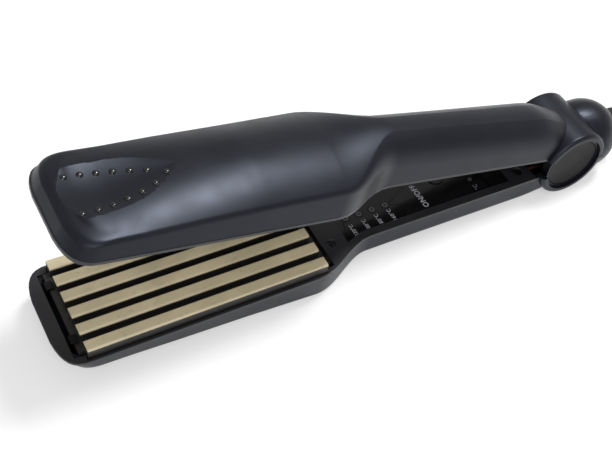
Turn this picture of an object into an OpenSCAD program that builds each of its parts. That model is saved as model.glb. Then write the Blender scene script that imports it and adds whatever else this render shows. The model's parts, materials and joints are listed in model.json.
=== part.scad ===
// Wide-plate crimping iron: two arms on one hinge, ribbed plates that mesh, a spring that opens the jaw,
// a control board with two push buttons, and a turning cord gland in the tail.
//
// The part lies on its lower arm. +X runs from the nose to the tail, +Y across the arms and +Z up. The
// origin is the middle of the footprint, on the surface that the lower arm lies on.
//
// Most modules draw in the arm frame: x = 0 and z = 0 on the hinge axis, the nose towards -X and +z away
// from the jaw. lower() and upper() set such a shape in its arm.

/* [Arms] */
// Distance from the hinge axis to the tip of the nose
arm_reach = 237.2; // [232:0.2:250]
// Angle between the arms with the jaw open
open_angle = 11.7; // [10:0.1:13]
// Distance between the rims of the arms with the jaw closed
rim_gap = 6.4; // [6.2:0.1:6.8]
// Wall thickness of the casings
wall = 2.2; // [1.8:0.1:2.4]

/* [Head] */
// Width of the head at its rim
head_w = 48; // [47.4:0.2:52]
// Length of the head from the nose to the waist
head_len = 104.2; // [103:0.2:107]
// Length of the waist, where the head narrows to the handle
waist_len = 30; // [26:1:34]
// Depth of the casing at the nose
nose_depth = 7.4; // [7.2:0.1:9]
// Depth of the casing at the waist
waist_depth = 12.6; // [12:0.1:14]
// Length of the nose's round corners in plan
nose_len = 12.5; // [10:0.5:14]
// Distance from the nose tip to the start of the outer face
nose_round = 9; // [7:0.5:9.5]
// How far the sides lean in from the rim to the outer face
side_lean = 1.7; // [1:0.1:2]
// Radius of the edge between side and outer face on the head
head_edge = 1.4; // [1:0.1:2]
// Rise of the upper casing's outer face along its middle
upper_crown = 6.4; // [5:0.1:7]
// Rise of the lower casing's outer face along its middle
lower_crown = 0.8; // [0.6:0.1:1]

/* [Handle] */
// Width of the handle behind the waist
handle_w = 25.8; // [25.4:0.2:28]
// Width of the handle in front of the hinge
handle_end_w = 27.2; // [27:0.2:30]
// Depth of the lower handle at its sides
lower_handle_depth = 12; // [11.6:0.1:12.4]
// Radius of the lower handle's long edges
lower_handle_edge = 3.2; // [2.5:0.1:4]
// Depth of the upper handle behind the waist, where its top starts to bow
upper_handle_depth = 18.3; // [16:0.1:19]
// How much shallower the upper handle gets on its way to the hinge
upper_handle_fall = 4; // [3:0.1:4.5]
// Radius of the upper handle's long edges
upper_handle_edge = 8; // [6:0.1:8.4]
// Rise of the upper handle's top along its middle
upper_handle_rise = 3.6; // [3:0.1:4]
// How far the handle's sides lean in
handle_lean = 0.7; // [0.4:0.1:1]

/* [Thumb recess] */
// Length of the recess behind the start of the outer face
recess_len = 37; // [30:1:42]
// Half the width of the recess at the nose
recess_half_w = 11.6; // [10:0.2:12]
// Depth of the recess at the nose
recess_depth = 2.2; // [1.8:0.1:2.6]
// Diameter of a grip stud
stud_d = 2.6; // [2:0.1:3]
// Grip studs in each row, with the one at the tip shared
studs_per_row = 7; // [4:1:8]

/* [Plates] */
// Number of ribs on the lower plate
lower_ribs = 6; // [5:1:6]
// Distance between neighbouring ribs
rib_pitch = 8; // [7.8:0.1:8]
// Width of a rib on the lower plate
lower_rib_w = 4.8; // [4.4:0.1:5]
// Width of a rib on the upper plate
upper_rib_w = 2.4; // [2:0.1:2.4]
// Distance from the nose tip to the ribs
rib_start = 10.2; // [9.8:0.1:11]
// How far the ribs run on past the end of the head
rib_overrun = 4; // [2:0.1:4.4]
// Height of the ribs above the rim
rib_top = 4.8; // [4.4:0.1:4.9]
// Height of the groove floor above the rim
groove_top = 0.8; // [0.6:0.1:0.9]
// Depth of the plate's body below the rim
plate_sink = 1; // [0.8:0.1:1.1]
// How far the plate's body runs on past the ribs at each end
plate_tab = 2.5; // [2:0.1:2.6]
// Radius of a rib's shoulders
rib_round = 0.7; // [0.3:0.1:0.9]

/* [Inner covers] */
// Thickness of the cover's edge, which lies on the rim
lip = 1.2; // [1:0.1:1.4]
// Thickness of the cover inside the rim
cover_t = 3; // [2.8:0.1:3.2]
// Depth of the cover's long recess in the handle
panel_sink = 1.6; // [1.4:0.1:1.8]
// Width of the cover's border beside the recess
border = 3.6; // [3.4:0.1:4]
// Thickness of the label panel
label_t = 0.6; // [0.4:0.1:0.8]
// Distance from the end of the head to the recess
panel_gap = 19.4; // [18:0.2:21]
// Distance from the hinge axis to the tail end of the recess
panel_end = 30; // [29:0.5:34]

/* [Controls] */
// Diameter of a push button
button_d = 6.9; // [6:0.1:7.5]
// Travel of a push button
button_travel = 0.5; // [0.3:0.05:0.5]
// Height of a button above the label panel
button_proud = 0.6; // [0.6:0.1:1]
// Place of the power button, as a share of the recess from its tail end
power_share = 0.36; // [0.34:0.01:0.4]
// Place of the temperature button, as a share of the recess from its tail end
temp_share = 0.19; // [0.17:0.01:0.21]
// Distance of both buttons from the middle line
button_y = 4.9; // [4:0.1:5]
// Distance from the head end of the recess to the first light
light_start = 5.8; // [4.8:0.2:7]
// Distance between neighbouring lights
light_pitch = 6.4; // [6:0.1:7]
// Number of lights
lights = 4; // [2:1:4]
// Diameter of a light's lens
lens_d = 3; // [2.4:0.1:3.4]

/* [Hinge] */
// Radius of the discs at the sides of the hinge
disc_r = 13.5; // [12.8:0.1:13.8]
// Distance from the middle line to a disc's face
disc_face = 14.4; // [14:0.1:14.6]
// Thickness of a disc
disc_t = 4; // [3.8:0.1:4.2]
// Half the width of the drum round the hinge
drum_half = 15.8; // [15:0.1:16]
// Diameter of the hinge pin
pin_d = 5; // [4.6:0.1:5.4]
// Wall thickness of the bushes on the pin
bush_wall = 1.5; // [1.2:0.1:1.6]
// Wire diameter of the opening spring
wire_d = 1.6; // [1.4:0.1:1.7]
// Turns of the opening spring
spring_turns = 4; // [3:1:4]

/* [Tail and cord gland] */
// Radius of the round tail
tail_r = 15.8; // [15.6:0.1:16]
// Distance from the hinge axis to the centre of the tail's round end
tail_centre = 15.8; // [15.4:0.1:16.4]
// Bore of the cord gland
cord_bore_d = 6.6; // [5.6:0.1:6.8]
// Diameter of the gland's neck
gland_neck_d = 10; // [9.4:0.1:10.4]
// Diameter of the gland's collar outside the tail
gland_d = 13.6; // [12.6:0.2:14.4]
// Length of the gland outside the tail
gland_out = 6; // [5:0.5:8]

/* [Hidden] */
$fn = 48;

// Clearances: between fixed pieces, round a screw or pin, and between pieces that move past each other
gap = 0.15;
fit = 0.05;
run = 0.3;
// Clearance of a ring or bush pressed into place
press = 0.02;
// Size of the blocks that cut a shape away
far = 400;
eps = 0.01;
// How far the pieces of one solid reach into each other
overlap = 0.5;

// Stations of the casings along the arm
rim = rim_gap / 2;
nose_x = -arm_reach;
waist_x = nose_x + head_len;
handle_x = waist_x + waist_len;
loft_end_x = -2;
nose_steps = 8;
head_steps = 5;
waist_steps = 8;
handle_steps = 6;
nose_first = 14;
nose_power = 3.2;
face_slope = 0.6;
face_share = 0.35;
crown_run = 65;
crown_start = 0.375;
lean_lead = 14;
hinge_fall_x = -24;
hinge_depth = 10;
face_start = nose_x + nose_round;
crown_steps = 3;
edge_steps = 3;

// The drum reaches as low as the waist, so the lower arm lies on both
drum_r = rim + waist_depth + lower_crown;
drum_round = 1.8;
cover_end_x = -(disc_r + 4.6);
cut_angle = 51.8;
cut_r = drum_r - 0.3;
tail_end_x = tail_centre + tail_r;
gland_gap = 0.3;
hinge_x = (arm_reach - tail_end_x - gland_gap - gland_out) / 2;
hinge_z = drum_r;

// Plates and what carries them
rib_x = nose_x + rib_start;
rib_len = head_len - rib_start + rib_overrun;
plate_x = rib_x - plate_tab;
plate_len = rib_len + 2 * plate_tab;
plate_mid_x = rib_x + rib_len / 2;
plate_half = ((lower_ribs - 1) * rib_pitch + lower_rib_w) / 2;
tab_half = plate_half - 3;
window_margin = 2;
window_gap = 0.35;
window_half = plate_half + window_gap;
tab_gap = 1;
step_inset = wall + 1.2;
holder_end = 2.4;
holder_half = plate_half - 4.2;
holder_top = rim + plate_sink;
holder_h = 3.6;
holder_bottom = holder_top + holder_h;
holder_bar = 6.5;
holder_rail = 4;
holder_sink = 0.2;
clip_t = 0.8;
clip_w = 4;
nose_clip_y = plate_half - 9.2;
waist_clip_y = plate_half - 5.2;
clip_reach = 2.2;
clip_drop = 1.4;

// Heaters
mica_t = 0.4;
heater_len = rib_len - 38;
heater_w = 24;
heater_t = 3.2;
mica_margin = 2;
clamp_w = 20;
clamp_t = 0.8;
sensor_d = 2.4;
sensor_len = 8;
fuse_d = 3.6;
fuse_len = 9.5;
lead_d = 1.5;

// Screws
head_r = 2.1;
head_h = 1.2;
shank_r = 1.2;
small_head_r = 1.7;
small_head_h = 1;
small_shank_r = 0.9;
head_sink = 0.8;
screw_bite = 5;
pilot_extra = 0.4;
slot_share = 0.6;
slot_half = 0.3;
holder_bite = 2;
clamp_bite = 1.8;
board_bite = 1.8;
knuckle_bite = 2.6;
boss_r = 2.8;
post_r = 2.4;
waist_screw_x = waist_x + 12.5;
waist_screw_y = 10.3;
tail_screw_x = cover_end_x - 5.6;
tail_screw_y = 6.6;
post_inset = holder_bar / 2;
post_y = 10;
clamp_screw_y = holder_half - holder_rail / 2;

// Control board
panel_start = -waist_x - panel_gap;
light_x = panel_start - light_start;
power_x = blend(panel_end, panel_start, power_share);
temp_x = blend(panel_end, panel_start, temp_share);
board_x = 1.6 - panel_start;
board_len = panel_start - panel_end - 5.6;
board_half = 8.4;
board_top = rim + 5.2;
board_t = 1.6;
board_bottom = board_top + board_t;
switch_w = 4.5;
flange_w = 0.9;
flange_h = 0.45;
flange_z = rim + cover_t + 0.05;
chip_len = 9;
film_len = 10;
triac_len = 7;
tab_len = 2.5;
round_len = 8;
parts_len = chip_len + film_len + triac_len + tab_len + round_len + 4 * post_r;
part_gap = (board_len - parts_len) / 7;
chip_x = board_x + part_gap;
first_post_x = chip_x + chip_len + part_gap + post_r;
film_x = first_post_x + post_r + part_gap;
triac_x = film_x + film_len + part_gap;
round_x = triac_x + triac_len + tab_len + part_gap;
last_post_x = round_x + round_len + part_gap + post_r;
board_post_x = [first_post_x, last_post_x];
board_post_y = [5.6, -5.6];
switch_h = board_top - flange_z - flange_h - button_travel - 0.1;
label_face = rim + panel_sink - label_t;
label_gap = 0.15;
lens_proud = 0.1;

// Hinge
disc_in = disc_face - disc_t;
cap_r = disc_r - 1;
cap_t = 1.1;
cap_dish = 0.5;
cap_slope = 4;
cap_rim = 0.8;
pin_head_r = 4.2;
pin_head_h = 1.1;
pin_room = 0.4;
pin_socket = 0.7;
socket_half = 1.6;
socket_w = 1;
groove_t = 0.4;
lug_in = 6.8;
lug_out = disc_in - run;
bush_r = pin_d / 2 + bush_wall;
lug_r = bush_r + 2.4;
saddle_in = 11.4;
saddle_half = 9;
spring_r = 5.2;
spring_pitch = 2.3;
spring_leg = 11.6;
leg_rest = 0.3;
leg_z = spring_r + wire_d / 2 + leg_rest;
rest_half = 1.6;
rest_over = 0.6;
rest_len = 3;
knuckle_plate_x = -40;
knuckle_plate_z = rim + 5.2;
knuckle_plate_t = 2.2;
knuckle_plate_half = 8.6;
knuckle_screw_x = -35;
knuckle_screw_y = 4.6;
knuckle_pilot_z = knuckle_plate_z + knuckle_plate_t + knuckle_bite + pilot_extra;

// Tail and swivel
neck_r = gland_neck_d / 2;
flange_r = neck_r + 2.4;
flange_t = 1.8;
collar_r = gland_d / 2 + 1.6;
flange_x = tail_centre + sqrt(pow(tail_r - wall, 2) - pow(flange_r + 1, 2)) - run;
gland_round = 2.2;
core_r = 4.1;
core_bore_r = 2;
core_x = 14.4;
ring_r = 4.9;
ring_w = 2;
ring_xs = [16.6, 20.8];
blade_t = 0.6;
blade_w = 1.6;
block_len = 9.4;
block_half = 8;
block_top = 8.2;
supply_y = 2.4;
supply_z = block_top + 3;
supply_bend = 10;
supply_sink = 3;
blade_gap = 0.06;
blade_reach = 2.5;
blade_root = 1.5;
tongue_t = 1.4;
tongue_w = 5;
tongue_reach = 1.8;

// ---------------------------------------------------------------- outline of an arm

function smooth(t) = t <= 0 ? 0 : t >= 1 ? 1 : t * t * (3 - 2 * t);
function blend(a, b, t) = a + (b - a) * t;
function waist_share(x) = smooth((x - waist_x) / waist_len);
function handle_half(x) = blend(handle_w, handle_end_w, smooth((x - handle_x) / (loft_end_x - handle_x))) / 2;
function half_w(x) = blend(head_w / 2, handle_half(x), waist_share(x));
function head_depth(x) = blend(nose_depth, waist_depth, min(1, (x - nose_x) / head_len));
function lean(x) = blend(side_lean, handle_lean, smooth((x - waist_x + lean_lead) / waist_len));
function head_rise(x, rise) = rise * blend(crown_start, 1, max(0, min(1, (x - face_start) / crown_run)));

// What differs between the arms: [rise of the head, depth, fall, edge and rise of the handle]
lower_form = [lower_crown, lower_handle_depth, 0, lower_handle_edge, lower_crown];
upper_form = [upper_crown, upper_handle_depth, upper_handle_fall, upper_handle_edge, upper_handle_rise];
function handle_fall(x, form) =
    form[2] * max(0, (x - handle_x) / (hinge_fall_x - handle_x))
    + max(0, form[1] - form[2] - hinge_depth) * smooth((x - hinge_fall_x) / (loft_end_x - hinge_fall_x));
function side_depth(x, form) = blend(head_depth(x), form[1] - handle_fall(x, form), waist_share(x));
function crown(x, form) = blend(head_rise(x, form[0]), form[4], waist_share(x));
function edge(x, form) = blend(head_edge, form[3], waist_share(x));
function nose_share(i) = nose_first + (90 - nose_first) * i / nose_steps;

// Each station is its place at the rim, its share of the full width, and whether it is on the nose
function stations(inset) = concat(
    [for (i = [0:nose_steps]) [
        nose_x + inset + nose_len * (1 - pow(cos(nose_share(i)), 2 / nose_power)),
        pow(sin(nose_share(i)), 2 / nose_power), true]],
    [for (i = [1:head_steps]) [face_start + blend(nose_len, crown_run, i / head_steps), 1, false]],
    [for (i = [0:waist_steps]) [waist_x + waist_len * i / waist_steps, 1, false]],
    [for (i = [1:handle_steps]) [blend(handle_x, loft_end_x, i / handle_steps), 1, false]]
);

// Half a cross-section from the rim to the middle: [across, out from the rim]
function bow(y, top, depth, rise) = depth + rise * (1 - pow(y / top, 2));
function curve(a, b, c, t) = (1 - t) * (1 - t) * a + 2 * t * (1 - t) * b + t * t * c;
function half_section(w, lean, depth, rise, round, low) =
    let (top = w - lean, flat = top - round)
    let (side = [w - lean * (depth - round) / depth, depth - round])
    let (shoulder = [flat, bow(flat, top, depth, rise)])
    concat(
        [[w, low]],
        [for (i = [0:edge_steps]) curve(side, [top, depth], shoulder, i / edge_steps)],
        [for (i = [1:crown_steps]) let (y = flat * (1 - i / crown_steps)) [y, bow(y, top, depth, rise)]]
    );
section_n = 2 + edge_steps + crown_steps;
ring_n = 2 * section_n - 1;

function nose_back(p, full) = p <= 0 ? 0 : p <= full ?
    nose_round * (1 - sqrt(1 - pow(p / full, 2))) : nose_round + face_slope * (p - full);
function place_point(s, p, side, full) =
    [s[0] + (s[2] ? nose_back(p[1], full) : 0), side * p[0] * s[1], rim + p[1]];
function ring_at(s, inset, form, low) =
    let (x = s[0], depth = side_depth(x, form) - inset)
    let (rise = crown(x, form), full = depth + face_share * rise)
    let (half = half_section(half_w(x) - inset, lean(x), depth, rise, edge(x, form) - inset / 4, low))
    concat(
        [for (p = half) place_point(s, p, -1, full)],
        [for (i = [section_n - 2:-1:0]) place_point(s, half[i], 1, full)]
    );

// Triangles between neighbouring rings, and the caps
function band(i, n) = [for (j = [0:n - 2]) for (f = [
    [i * n + j, i * n + j + 1, (i + 1) * n + j + 1],
    [i * n + j, (i + 1) * n + j + 1, (i + 1) * n + j]]) f];
function nose_cap(n) = concat(
    [for (k = [0:section_n - 3]) for (f = [[k, n - 1 - k, n - 2 - k], [k, n - 2 - k, k + 1]]) f],
    [[section_n - 2, section_n, section_n - 1]]
);

// Closed solid of an arm, from the nose to the hinge, moved in by the inset
module arm_loft(inset, form, low) {
    rows = stations(inset);
    points = [for (s = rows) each ring_at(s, inset, form, low)];
    last = len(rows) - 1;
    faces = concat(
        [for (i = [0:last - 1]) each band(i, ring_n)],
        nose_cap(ring_n),
        [[for (j = [0:ring_n - 1]) last * ring_n + j]],
        [concat([for (i = [0:last]) i * ring_n], [for (i = [last:-1:0]) i * ring_n + ring_n - 1])]
    );
    polyhedron(points, faces, convexity = 8);
}

// Flat outline of an arm at its rim, as far as end_x
module plan(inset, end_x = cover_end_x) {
    rows = [for (s = stations(inset)) if (s[0] < end_x - 1) s];
    side = concat(
        [for (s = rows) [s[0], (half_w(s[0]) - inset) * s[1]]],
        [[end_x, half_w(end_x) - inset]]
    );
    polygon(concat(
        [for (p = side) [p[0], -p[1]]],
        [for (i = [len(side) - 1:-1:0]) side[i]]
    ));
}

// ---------------------------------------------------------------- frames and small shapes

module place() {
    translate([hinge_x, 0, hinge_z]) children();
}

module lower() {
    place() mirror([0, 0, 1]) children();
}

module upper() {
    place() rotate([0, open_angle, 0]) children();
}

module both_sides() {
    children();
    mirror([0, 1, 0]) children();
}

// Block between two corners
module block(a, b) {
    translate(a) cube(b - a);
}

// Cylinder along Y between two distances from the middle line
module cross_disc(r, y0, y1) {
    translate([0, y1, 0]) rotate([90, 0, 0]) cylinder(r = r, h = y1 - y0);
}

// Cylinder along X
module long_rod(r, x0, x1) {
    translate([x0, 0, 0]) rotate([0, 90, 0]) cylinder(r = r, h = x1 - x0);
}

// Cylinder along z between two heights
module stud(r, z0, z1) {
    translate([0, 0, z0]) cylinder(r = r, h = z1 - z0);
}

// Pan-head screw that points along +z, with its head's top at z = 0
module screw(r_head, h_head, r_shank, length) {
    difference() {
        union() {
            stud(r_head, 0, h_head);
            stud(r_shank, h_head - eps, length);
        }
        for (turn = [0, 90]) {
            rotate([0, 0, turn]) {
                block([-slot_share * r_head, -slot_half, -eps],
                      [slot_share * r_head, slot_half, slot_share * h_head]);
            }
        }
    }
}

// Tube swept along a path that runs mostly along X or Z
function unit(v) = v / norm(v);
function heading(path, i) = unit(path[min(i + 1, len(path) - 1)] - path[max(i - 1, 0)]);
function tube_ring(p, t, r, n) =
    let (u = unit(cross(t, [0, 1, 0])), v = cross(t, u))
    [for (k = [0:n - 1]) p + r * (cos(360 * k / n) * u + sin(360 * k / n) * v)];
function tube_band(i, n) = [for (k = [0:n - 1]) let (m = (k + 1) % n) for (f = [
    [i * n + k, (i + 1) * n + m, i * n + m],
    [i * n + k, (i + 1) * n + k, (i + 1) * n + m]]) f];

module tube(path, r, n = 6) {
    last = len(path) - 1;
    points = [for (i = [0:last]) each tube_ring(path[i], heading(path, i), r, n)];
    faces = concat(
        [for (i = [0:last - 1]) each tube_band(i, n)],
        [[for (k = [0:n - 1]) k]],
        [[for (k = [n - 1:-1:0]) last * n + k]]
    );
    polyhedron(points, faces, convexity = 10);
}

function bezier(a, b, c, d, t) =
    pow(1 - t, 3) * a + 3 * t * pow(1 - t, 2) * b + 3 * t * t * (1 - t) * c + pow(t, 3) * d;
function bezier_path(a, b, c, d, steps) = [for (i = [0:steps]) bezier(a, b, c, d, i / steps)];

// ---------------------------------------------------------------- casings

// Drum round the hinge axis, with rounded rims
module drum(inset) {
    r = drum_r - inset;
    half = drum_half - inset;
    round = drum_round - inset / 2;
    rotate([90, 0, 0]) rotate_extrude() {
        translate([0, -half]) square([r - round, 2 * half]);
        translate([0, round - half]) square([r, 2 * (half - round)]);
        intersection() {
            for (side = [-1, 1]) translate([r - round, side * (half - round)]) circle(round);
            translate([0, -half]) square([r, 2 * half]);
        }
    }
}

// Round tail with a ball end
module tail_barrel(inset) {
    r = tail_r - inset;
    long_rod(r, 0, tail_centre);
    translate([tail_centre, 0, 0]) sphere(r);
}

module casing_form(form, tail_turn) {
    arm_loft(0, form, 0);
    drum(0);
    rotate([0, tail_turn, 0]) tail_barrel(0);
}

module casing_room(form, tail_turn) {
    arm_loft(wall, form, -1);
    drum(wall);
    rotate([0, tail_turn, 0]) tail_barrel(wall);
}

// Everything on the jaw's side of a rim; the inner cover's edge takes the rest
module jaw_side() {
    block([-far, -far, -far], [cover_end_x, far, rim + lip]);
    block([cover_end_x - eps, -far, -far], [far, far, rim]);
}

// Everything behind the oblique end of the upper casing, in the upper arm's frame
module behind_cut(offset) {
    rotate([0, -cut_angle, 0]) translate([cut_r + offset, -far / 2, -far / 2]) cube(far);
}

// Posts under the plate holder and bosses under the inner cover
module holder_posts() {
    for (x = holder_post_xs) for (y = [-post_y, post_y]) {
        translate([x, y, 0]) stud(post_r, holder_bottom, far);
    }
}
holder_x0 = plate_x + holder_end;
holder_x1 = plate_x + plate_len - holder_end;
holder_post_xs = [holder_x0 + post_inset, holder_x1 - post_inset];

module holder_pilots() {
    for (x = holder_post_xs) for (y = [-post_y, post_y]) {
        translate([x, y, 0]) stud(small_shank_r + fit, holder_top, holder_bottom + holder_bite + pilot_extra);
    }
}

module at_waist_screws() {
    for (y = [-waist_screw_y, waist_screw_y]) translate([waist_screw_x, y, 0]) children();
}

module at_tail_screws() {
    for (y = [-tail_screw_y, tail_screw_y]) translate([tail_screw_x, y, 0]) children();
}

module cover_pilot() {
    stud(shank_r + fit, rim, rim + head_sink + head_h + screw_bite + pilot_extra);
}

module at_board_posts() {
    for (i = [0, 1]) translate([board_post_x[i], board_post_y[i], 0]) children();
}

module lower_shell() {
    color("dimgray") lower() {
        difference() {
            union() {
                difference() {
                    casing_form(lower_form, 0);
                    difference() {
                        casing_room(lower_form, 0);
                        holder_posts();
                        at_waist_screws() stud(boss_r, rim + cover_t, far);
                        at_tail_screws() stud(boss_r, rim + cover_t, far);
                        at_board_posts() stud(post_r, board_bottom, far);
                        spring_rest();
                    }
                    block([-far, -far, -far], [cover_end_x, far, rim + lip]);
                    block([cover_end_x - eps, -far, -far], [0, far, rim]);
                    tail_opening();
                }
                both_sides() cross_disc(disc_r, disc_in, disc_face);
            }
            both_sides() {
                cross_disc(disc_r + run, disc_face, far);
                cross_disc(cap_r + gap, disc_face - cap_t - gap, far);
                cross_disc(pin_head_r + pin_room, disc_face - cap_t - gap - pin_head_h - 2 * gap, far);
            }
            cross_disc(pin_d / 2 + fit, -far, far);
            disc_groove();
            holder_pilots();
            at_waist_screws() cover_pilot();
            at_tail_screws() cover_pilot();
            at_board_posts() stud(small_shank_r + fit, board_top, board_bottom + board_bite + pilot_extra);
            long_rod(neck_r + run, tail_centre, far);
        }
    }
}

// Space above the tail's lower half, which leaves a round collar for the cord gland
module tail_opening() {
    mirror([0, 0, 1]) difference() {
        intersection() {
            block([-eps, -far, -far], [far, far, far]);
            rotate([0, open_angle, 0]) block([-far, -far, rim - run], [far, far, far]);
        }
        long_rod(collar_r, tail_centre + neck_r, far);
    }
}

// Narrow gap that carries the disc's outline round on the lower casing
module disc_groove() {
    both_sides() difference() {
        cross_disc(disc_r + run, disc_face - groove_t, far);
        cross_disc(disc_r, 0, far);
    }
}

// Rest for the spring's lower leg
module spring_rest() {
    y = spring_y(0);
    block([-spring_leg - rest_over, y - rest_half, leg_z], [rest_len - spring_leg, y + rest_half, far]);
}

// Round end of the upper arm, notched over the gland's collar
module tail_cap() {
    color("dimgray") upper() difference() {
        union() {
            intersection() {
                tail_skin(0, wall);
                behind_cut(gap);
            }
            cap_tongues();
        }
        block([-far, -far, -far], [far, far, rim]);
        rotate([0, -open_angle, 0]) {
            long_rod(collar_r + run, tail_centre, far);
            block([tail_centre, -collar_r - run, -far], [far, collar_r + run, 0]);
        }
    }
}

// Tongues that reach from the cap into the upper casing
module cap_tongues() {
    intersection() {
        union() {
            tail_skin(wall + gap, wall + gap + tongue_t);
            intersection() {
                tail_skin(wall - gap, wall + gap + tongue_t);
                behind_cut(gap);
            }
        }
        rotate([0, -cut_angle, 0]) both_sides() {
            block([cut_r - tongue_reach, tail_r - tongue_w - wall, -tongue_w],
                  [cut_r + tongue_reach, tail_r, tongue_w]);
        }
    }
}

// Skin of the tail between two depths, as the upper arm carries it
module tail_skin(outer, inner) {
    rotate([0, -open_angle, 0]) difference() {
        tail_barrel(outer);
        tail_barrel(inner);
    }
}

// Trough that makes the thumb recess: it meets the face at its tip and sinks in towards the nose
tip_x = face_start + recess_len;
tip_z = rim + head_depth(tip_x) + head_rise(tip_x, upper_crown);
brow_z = rim + nose_depth + head_rise(face_start, upper_crown);
trough_z = brow_z - recess_depth;
trough_tilt = atan((tip_z - trough_z) / recess_len);
brow_share = pow(recess_half_w / (head_w / 2 - side_lean), 2);
trough_sag = recess_depth - head_rise(face_start, upper_crown) * brow_share;
trough_r = (recess_half_w * recess_half_w + trough_sag * trough_sag) / (2 * trough_sag);
trough_lead = 20;
module recess(inset) {
    translate([face_start, 0, trough_z - inset]) rotate([0, -trough_tilt, 0])
        translate([-trough_lead, 0, trough_r]) long_rod(trough_r, 0, far);
}

module upper_shell() {
    color("dimgray") upper() {
        difference() {
            casing_form(upper_form, -open_angle);
            difference() {
                casing_room(upper_form, -open_angle);
                recess(wall);
                holder_posts();
                at_waist_screws() stud(boss_r, rim + cover_t, far);
                at_knuckle_screws() stud(boss_r, knuckle_plate_z + knuckle_plate_t, far);
            }
            jaw_side();
            behind_cut(0);
            recess(0);
            both_sides() cross_disc(disc_r + run, lug_out, far);
            holder_pilots();
            at_waist_screws() cover_pilot();
            at_knuckle_screws() stud(small_shank_r + fit, 0, knuckle_pilot_z);
            at_studs() stud(stud_neck_r + fit, -stud_root, stud_root);
        }
    }
}

// The grip studs stand in two rows that meet at the recess's tip
stud_root = 1.2;
stud_sink = 0.2;
stud_neck_r = stud_d / 2 - 0.55;
stud_edge = 2.6;
stud_lead = 0.8;
stud_rows = recess_len - 4.5;
stud_power = 1.69;
stud_bend = 0.7;
function stud_x(i) = face_start + stud_lead + stud_rows * i / (studs_per_row - 1);
function stud_y(i) =
    (recess_half_w - stud_edge) * pow(1 - pow(i / (studs_per_row - 1), stud_power), stud_bend);
function trough_at(x, y) = trough_z + (x - face_start) * tan(trough_tilt)
    + (trough_r - sqrt(trough_r * trough_r - y * y)) / cos(trough_tilt);
module at_studs() {
    for (i = [0:studs_per_row - 1]) for (side = i == studs_per_row - 1 ? [1] : [-1, 1]) {
        x = stud_x(i);
        y = side * stud_y(i);
        translate([x, y, trough_at(x, y)]) rotate([0, -trough_tilt, 0]) rotate([asin(y / trough_r), 0, 0])
            children();
    }
}

module grip_studs() {
    color("black") upper() at_studs() {
        stud(stud_neck_r, fit - stud_root, overlap);
        intersection() {
            translate([0, 0, -stud_sink]) sphere(stud_d / 2);
            stud(stud_d, fit, stud_d);
        }
    }
}

// ---------------------------------------------------------------- inner covers and plates

window_x0 = plate_x - window_margin;
window_x1 = plate_x + plate_len + window_margin;

module inner_cover() {
    difference() {
        union() {
            translate([0, 0, rim]) linear_extrude(lip) plan(0);
            translate([0, 0, rim + lip - eps]) linear_extrude(cover_t - lip) intersection() {
                plan(step_inset);
                translate([nose_back(cover_t, nose_depth - wall) + gap, 0]) plan(step_inset, 0);
            }
        }
        block([window_x0, -tab_half - tab_gap, -far], [window_x1, tab_half + tab_gap, far]);
        block([rib_x - window_gap, -window_half, -far], [rib_x + rib_len + window_gap, window_half, far]);
        translate([0, 0, rim - 1]) linear_extrude(panel_sink + 1) intersection() {
            plan(border);
            translate([-panel_start, -far]) square([panel_start - panel_end, 2 * far]);
        }
        at_cover_screws() {
            stud(shank_r + gap, -far, far);
            stud(head_r + gap, -far, rim + head_sink + head_h);
        }
    }
}

module at_cover_screws() {
    at_waist_screws() children();
    at_tail_screws() children();
}

// Origin at the plate's end, with x towards the window's edge
module at_clips() {
    both_sides() {
        translate([plate_x, nose_clip_y, 0]) mirror([1, 0, 0]) children();
        translate([plate_x + plate_len, waist_clip_y, 0]) children();
    }
}

module lower_inner_cover() {
    color("black") lower() difference() {
        inner_cover();
        at_lights() stud(lens_d / 2 + gap, -far, far);
        at_buttons() stud(button_d / 2 + gap, -far, far);
    }
}

module upper_inner_cover() {
    color("black") upper() inner_cover();
}

module at_lights() {
    for (i = [0:lights - 1]) translate([-light_x + i * light_pitch, 0, 0]) children();
}

module at_power() {
    translate([-power_x, button_y, 0]) children();
}

module at_temp() {
    translate([-temp_x, button_y, 0]) children();
}

module at_buttons() {
    at_power() children();
    at_temp() children();
}

module label_panel() {
    color("black") lower() difference() {
        translate([0, 0, label_face]) linear_extrude(label_t) intersection() {
            plan(border + label_gap);
            translate([label_gap - panel_start, -far])
                square([panel_start - panel_end - 2 * label_gap, 2 * far]);
        }
        at_lights() stud(lens_d / 2 + gap, -far, far);
        at_buttons() stud(button_d / 2 + gap, -far, far);
    }
}

// Flat-topped rib with round shoulders, pointing towards the jaw
module rib_section(w) {
    h = rib_top - groove_top;
    translate([-w / 2, -h + rib_round]) square([w, h - rib_round + overlap]);
    translate([rib_round - w / 2, -h]) square([w - 2 * rib_round, rib_round + eps]);
    for (side = [-1, 1]) translate([side * (w / 2 - rib_round), rib_round - h]) circle(rib_round);
}

module crimp_plate(ribs, rib_w) {
    block([plate_x, -tab_half, rim - groove_top], [plate_x + plate_len, tab_half, holder_top]);
    block([rib_x, -plate_half, rim - groove_top], [rib_x + rib_len, plate_half, holder_top]);
    for (i = [0:ribs - 1]) {
        translate([rib_x, (i - (ribs - 1) / 2) * rib_pitch, rim - groove_top])
            rotate([90, 0, 90]) linear_extrude(rib_len) rib_section(rib_w);
    }
}

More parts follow.
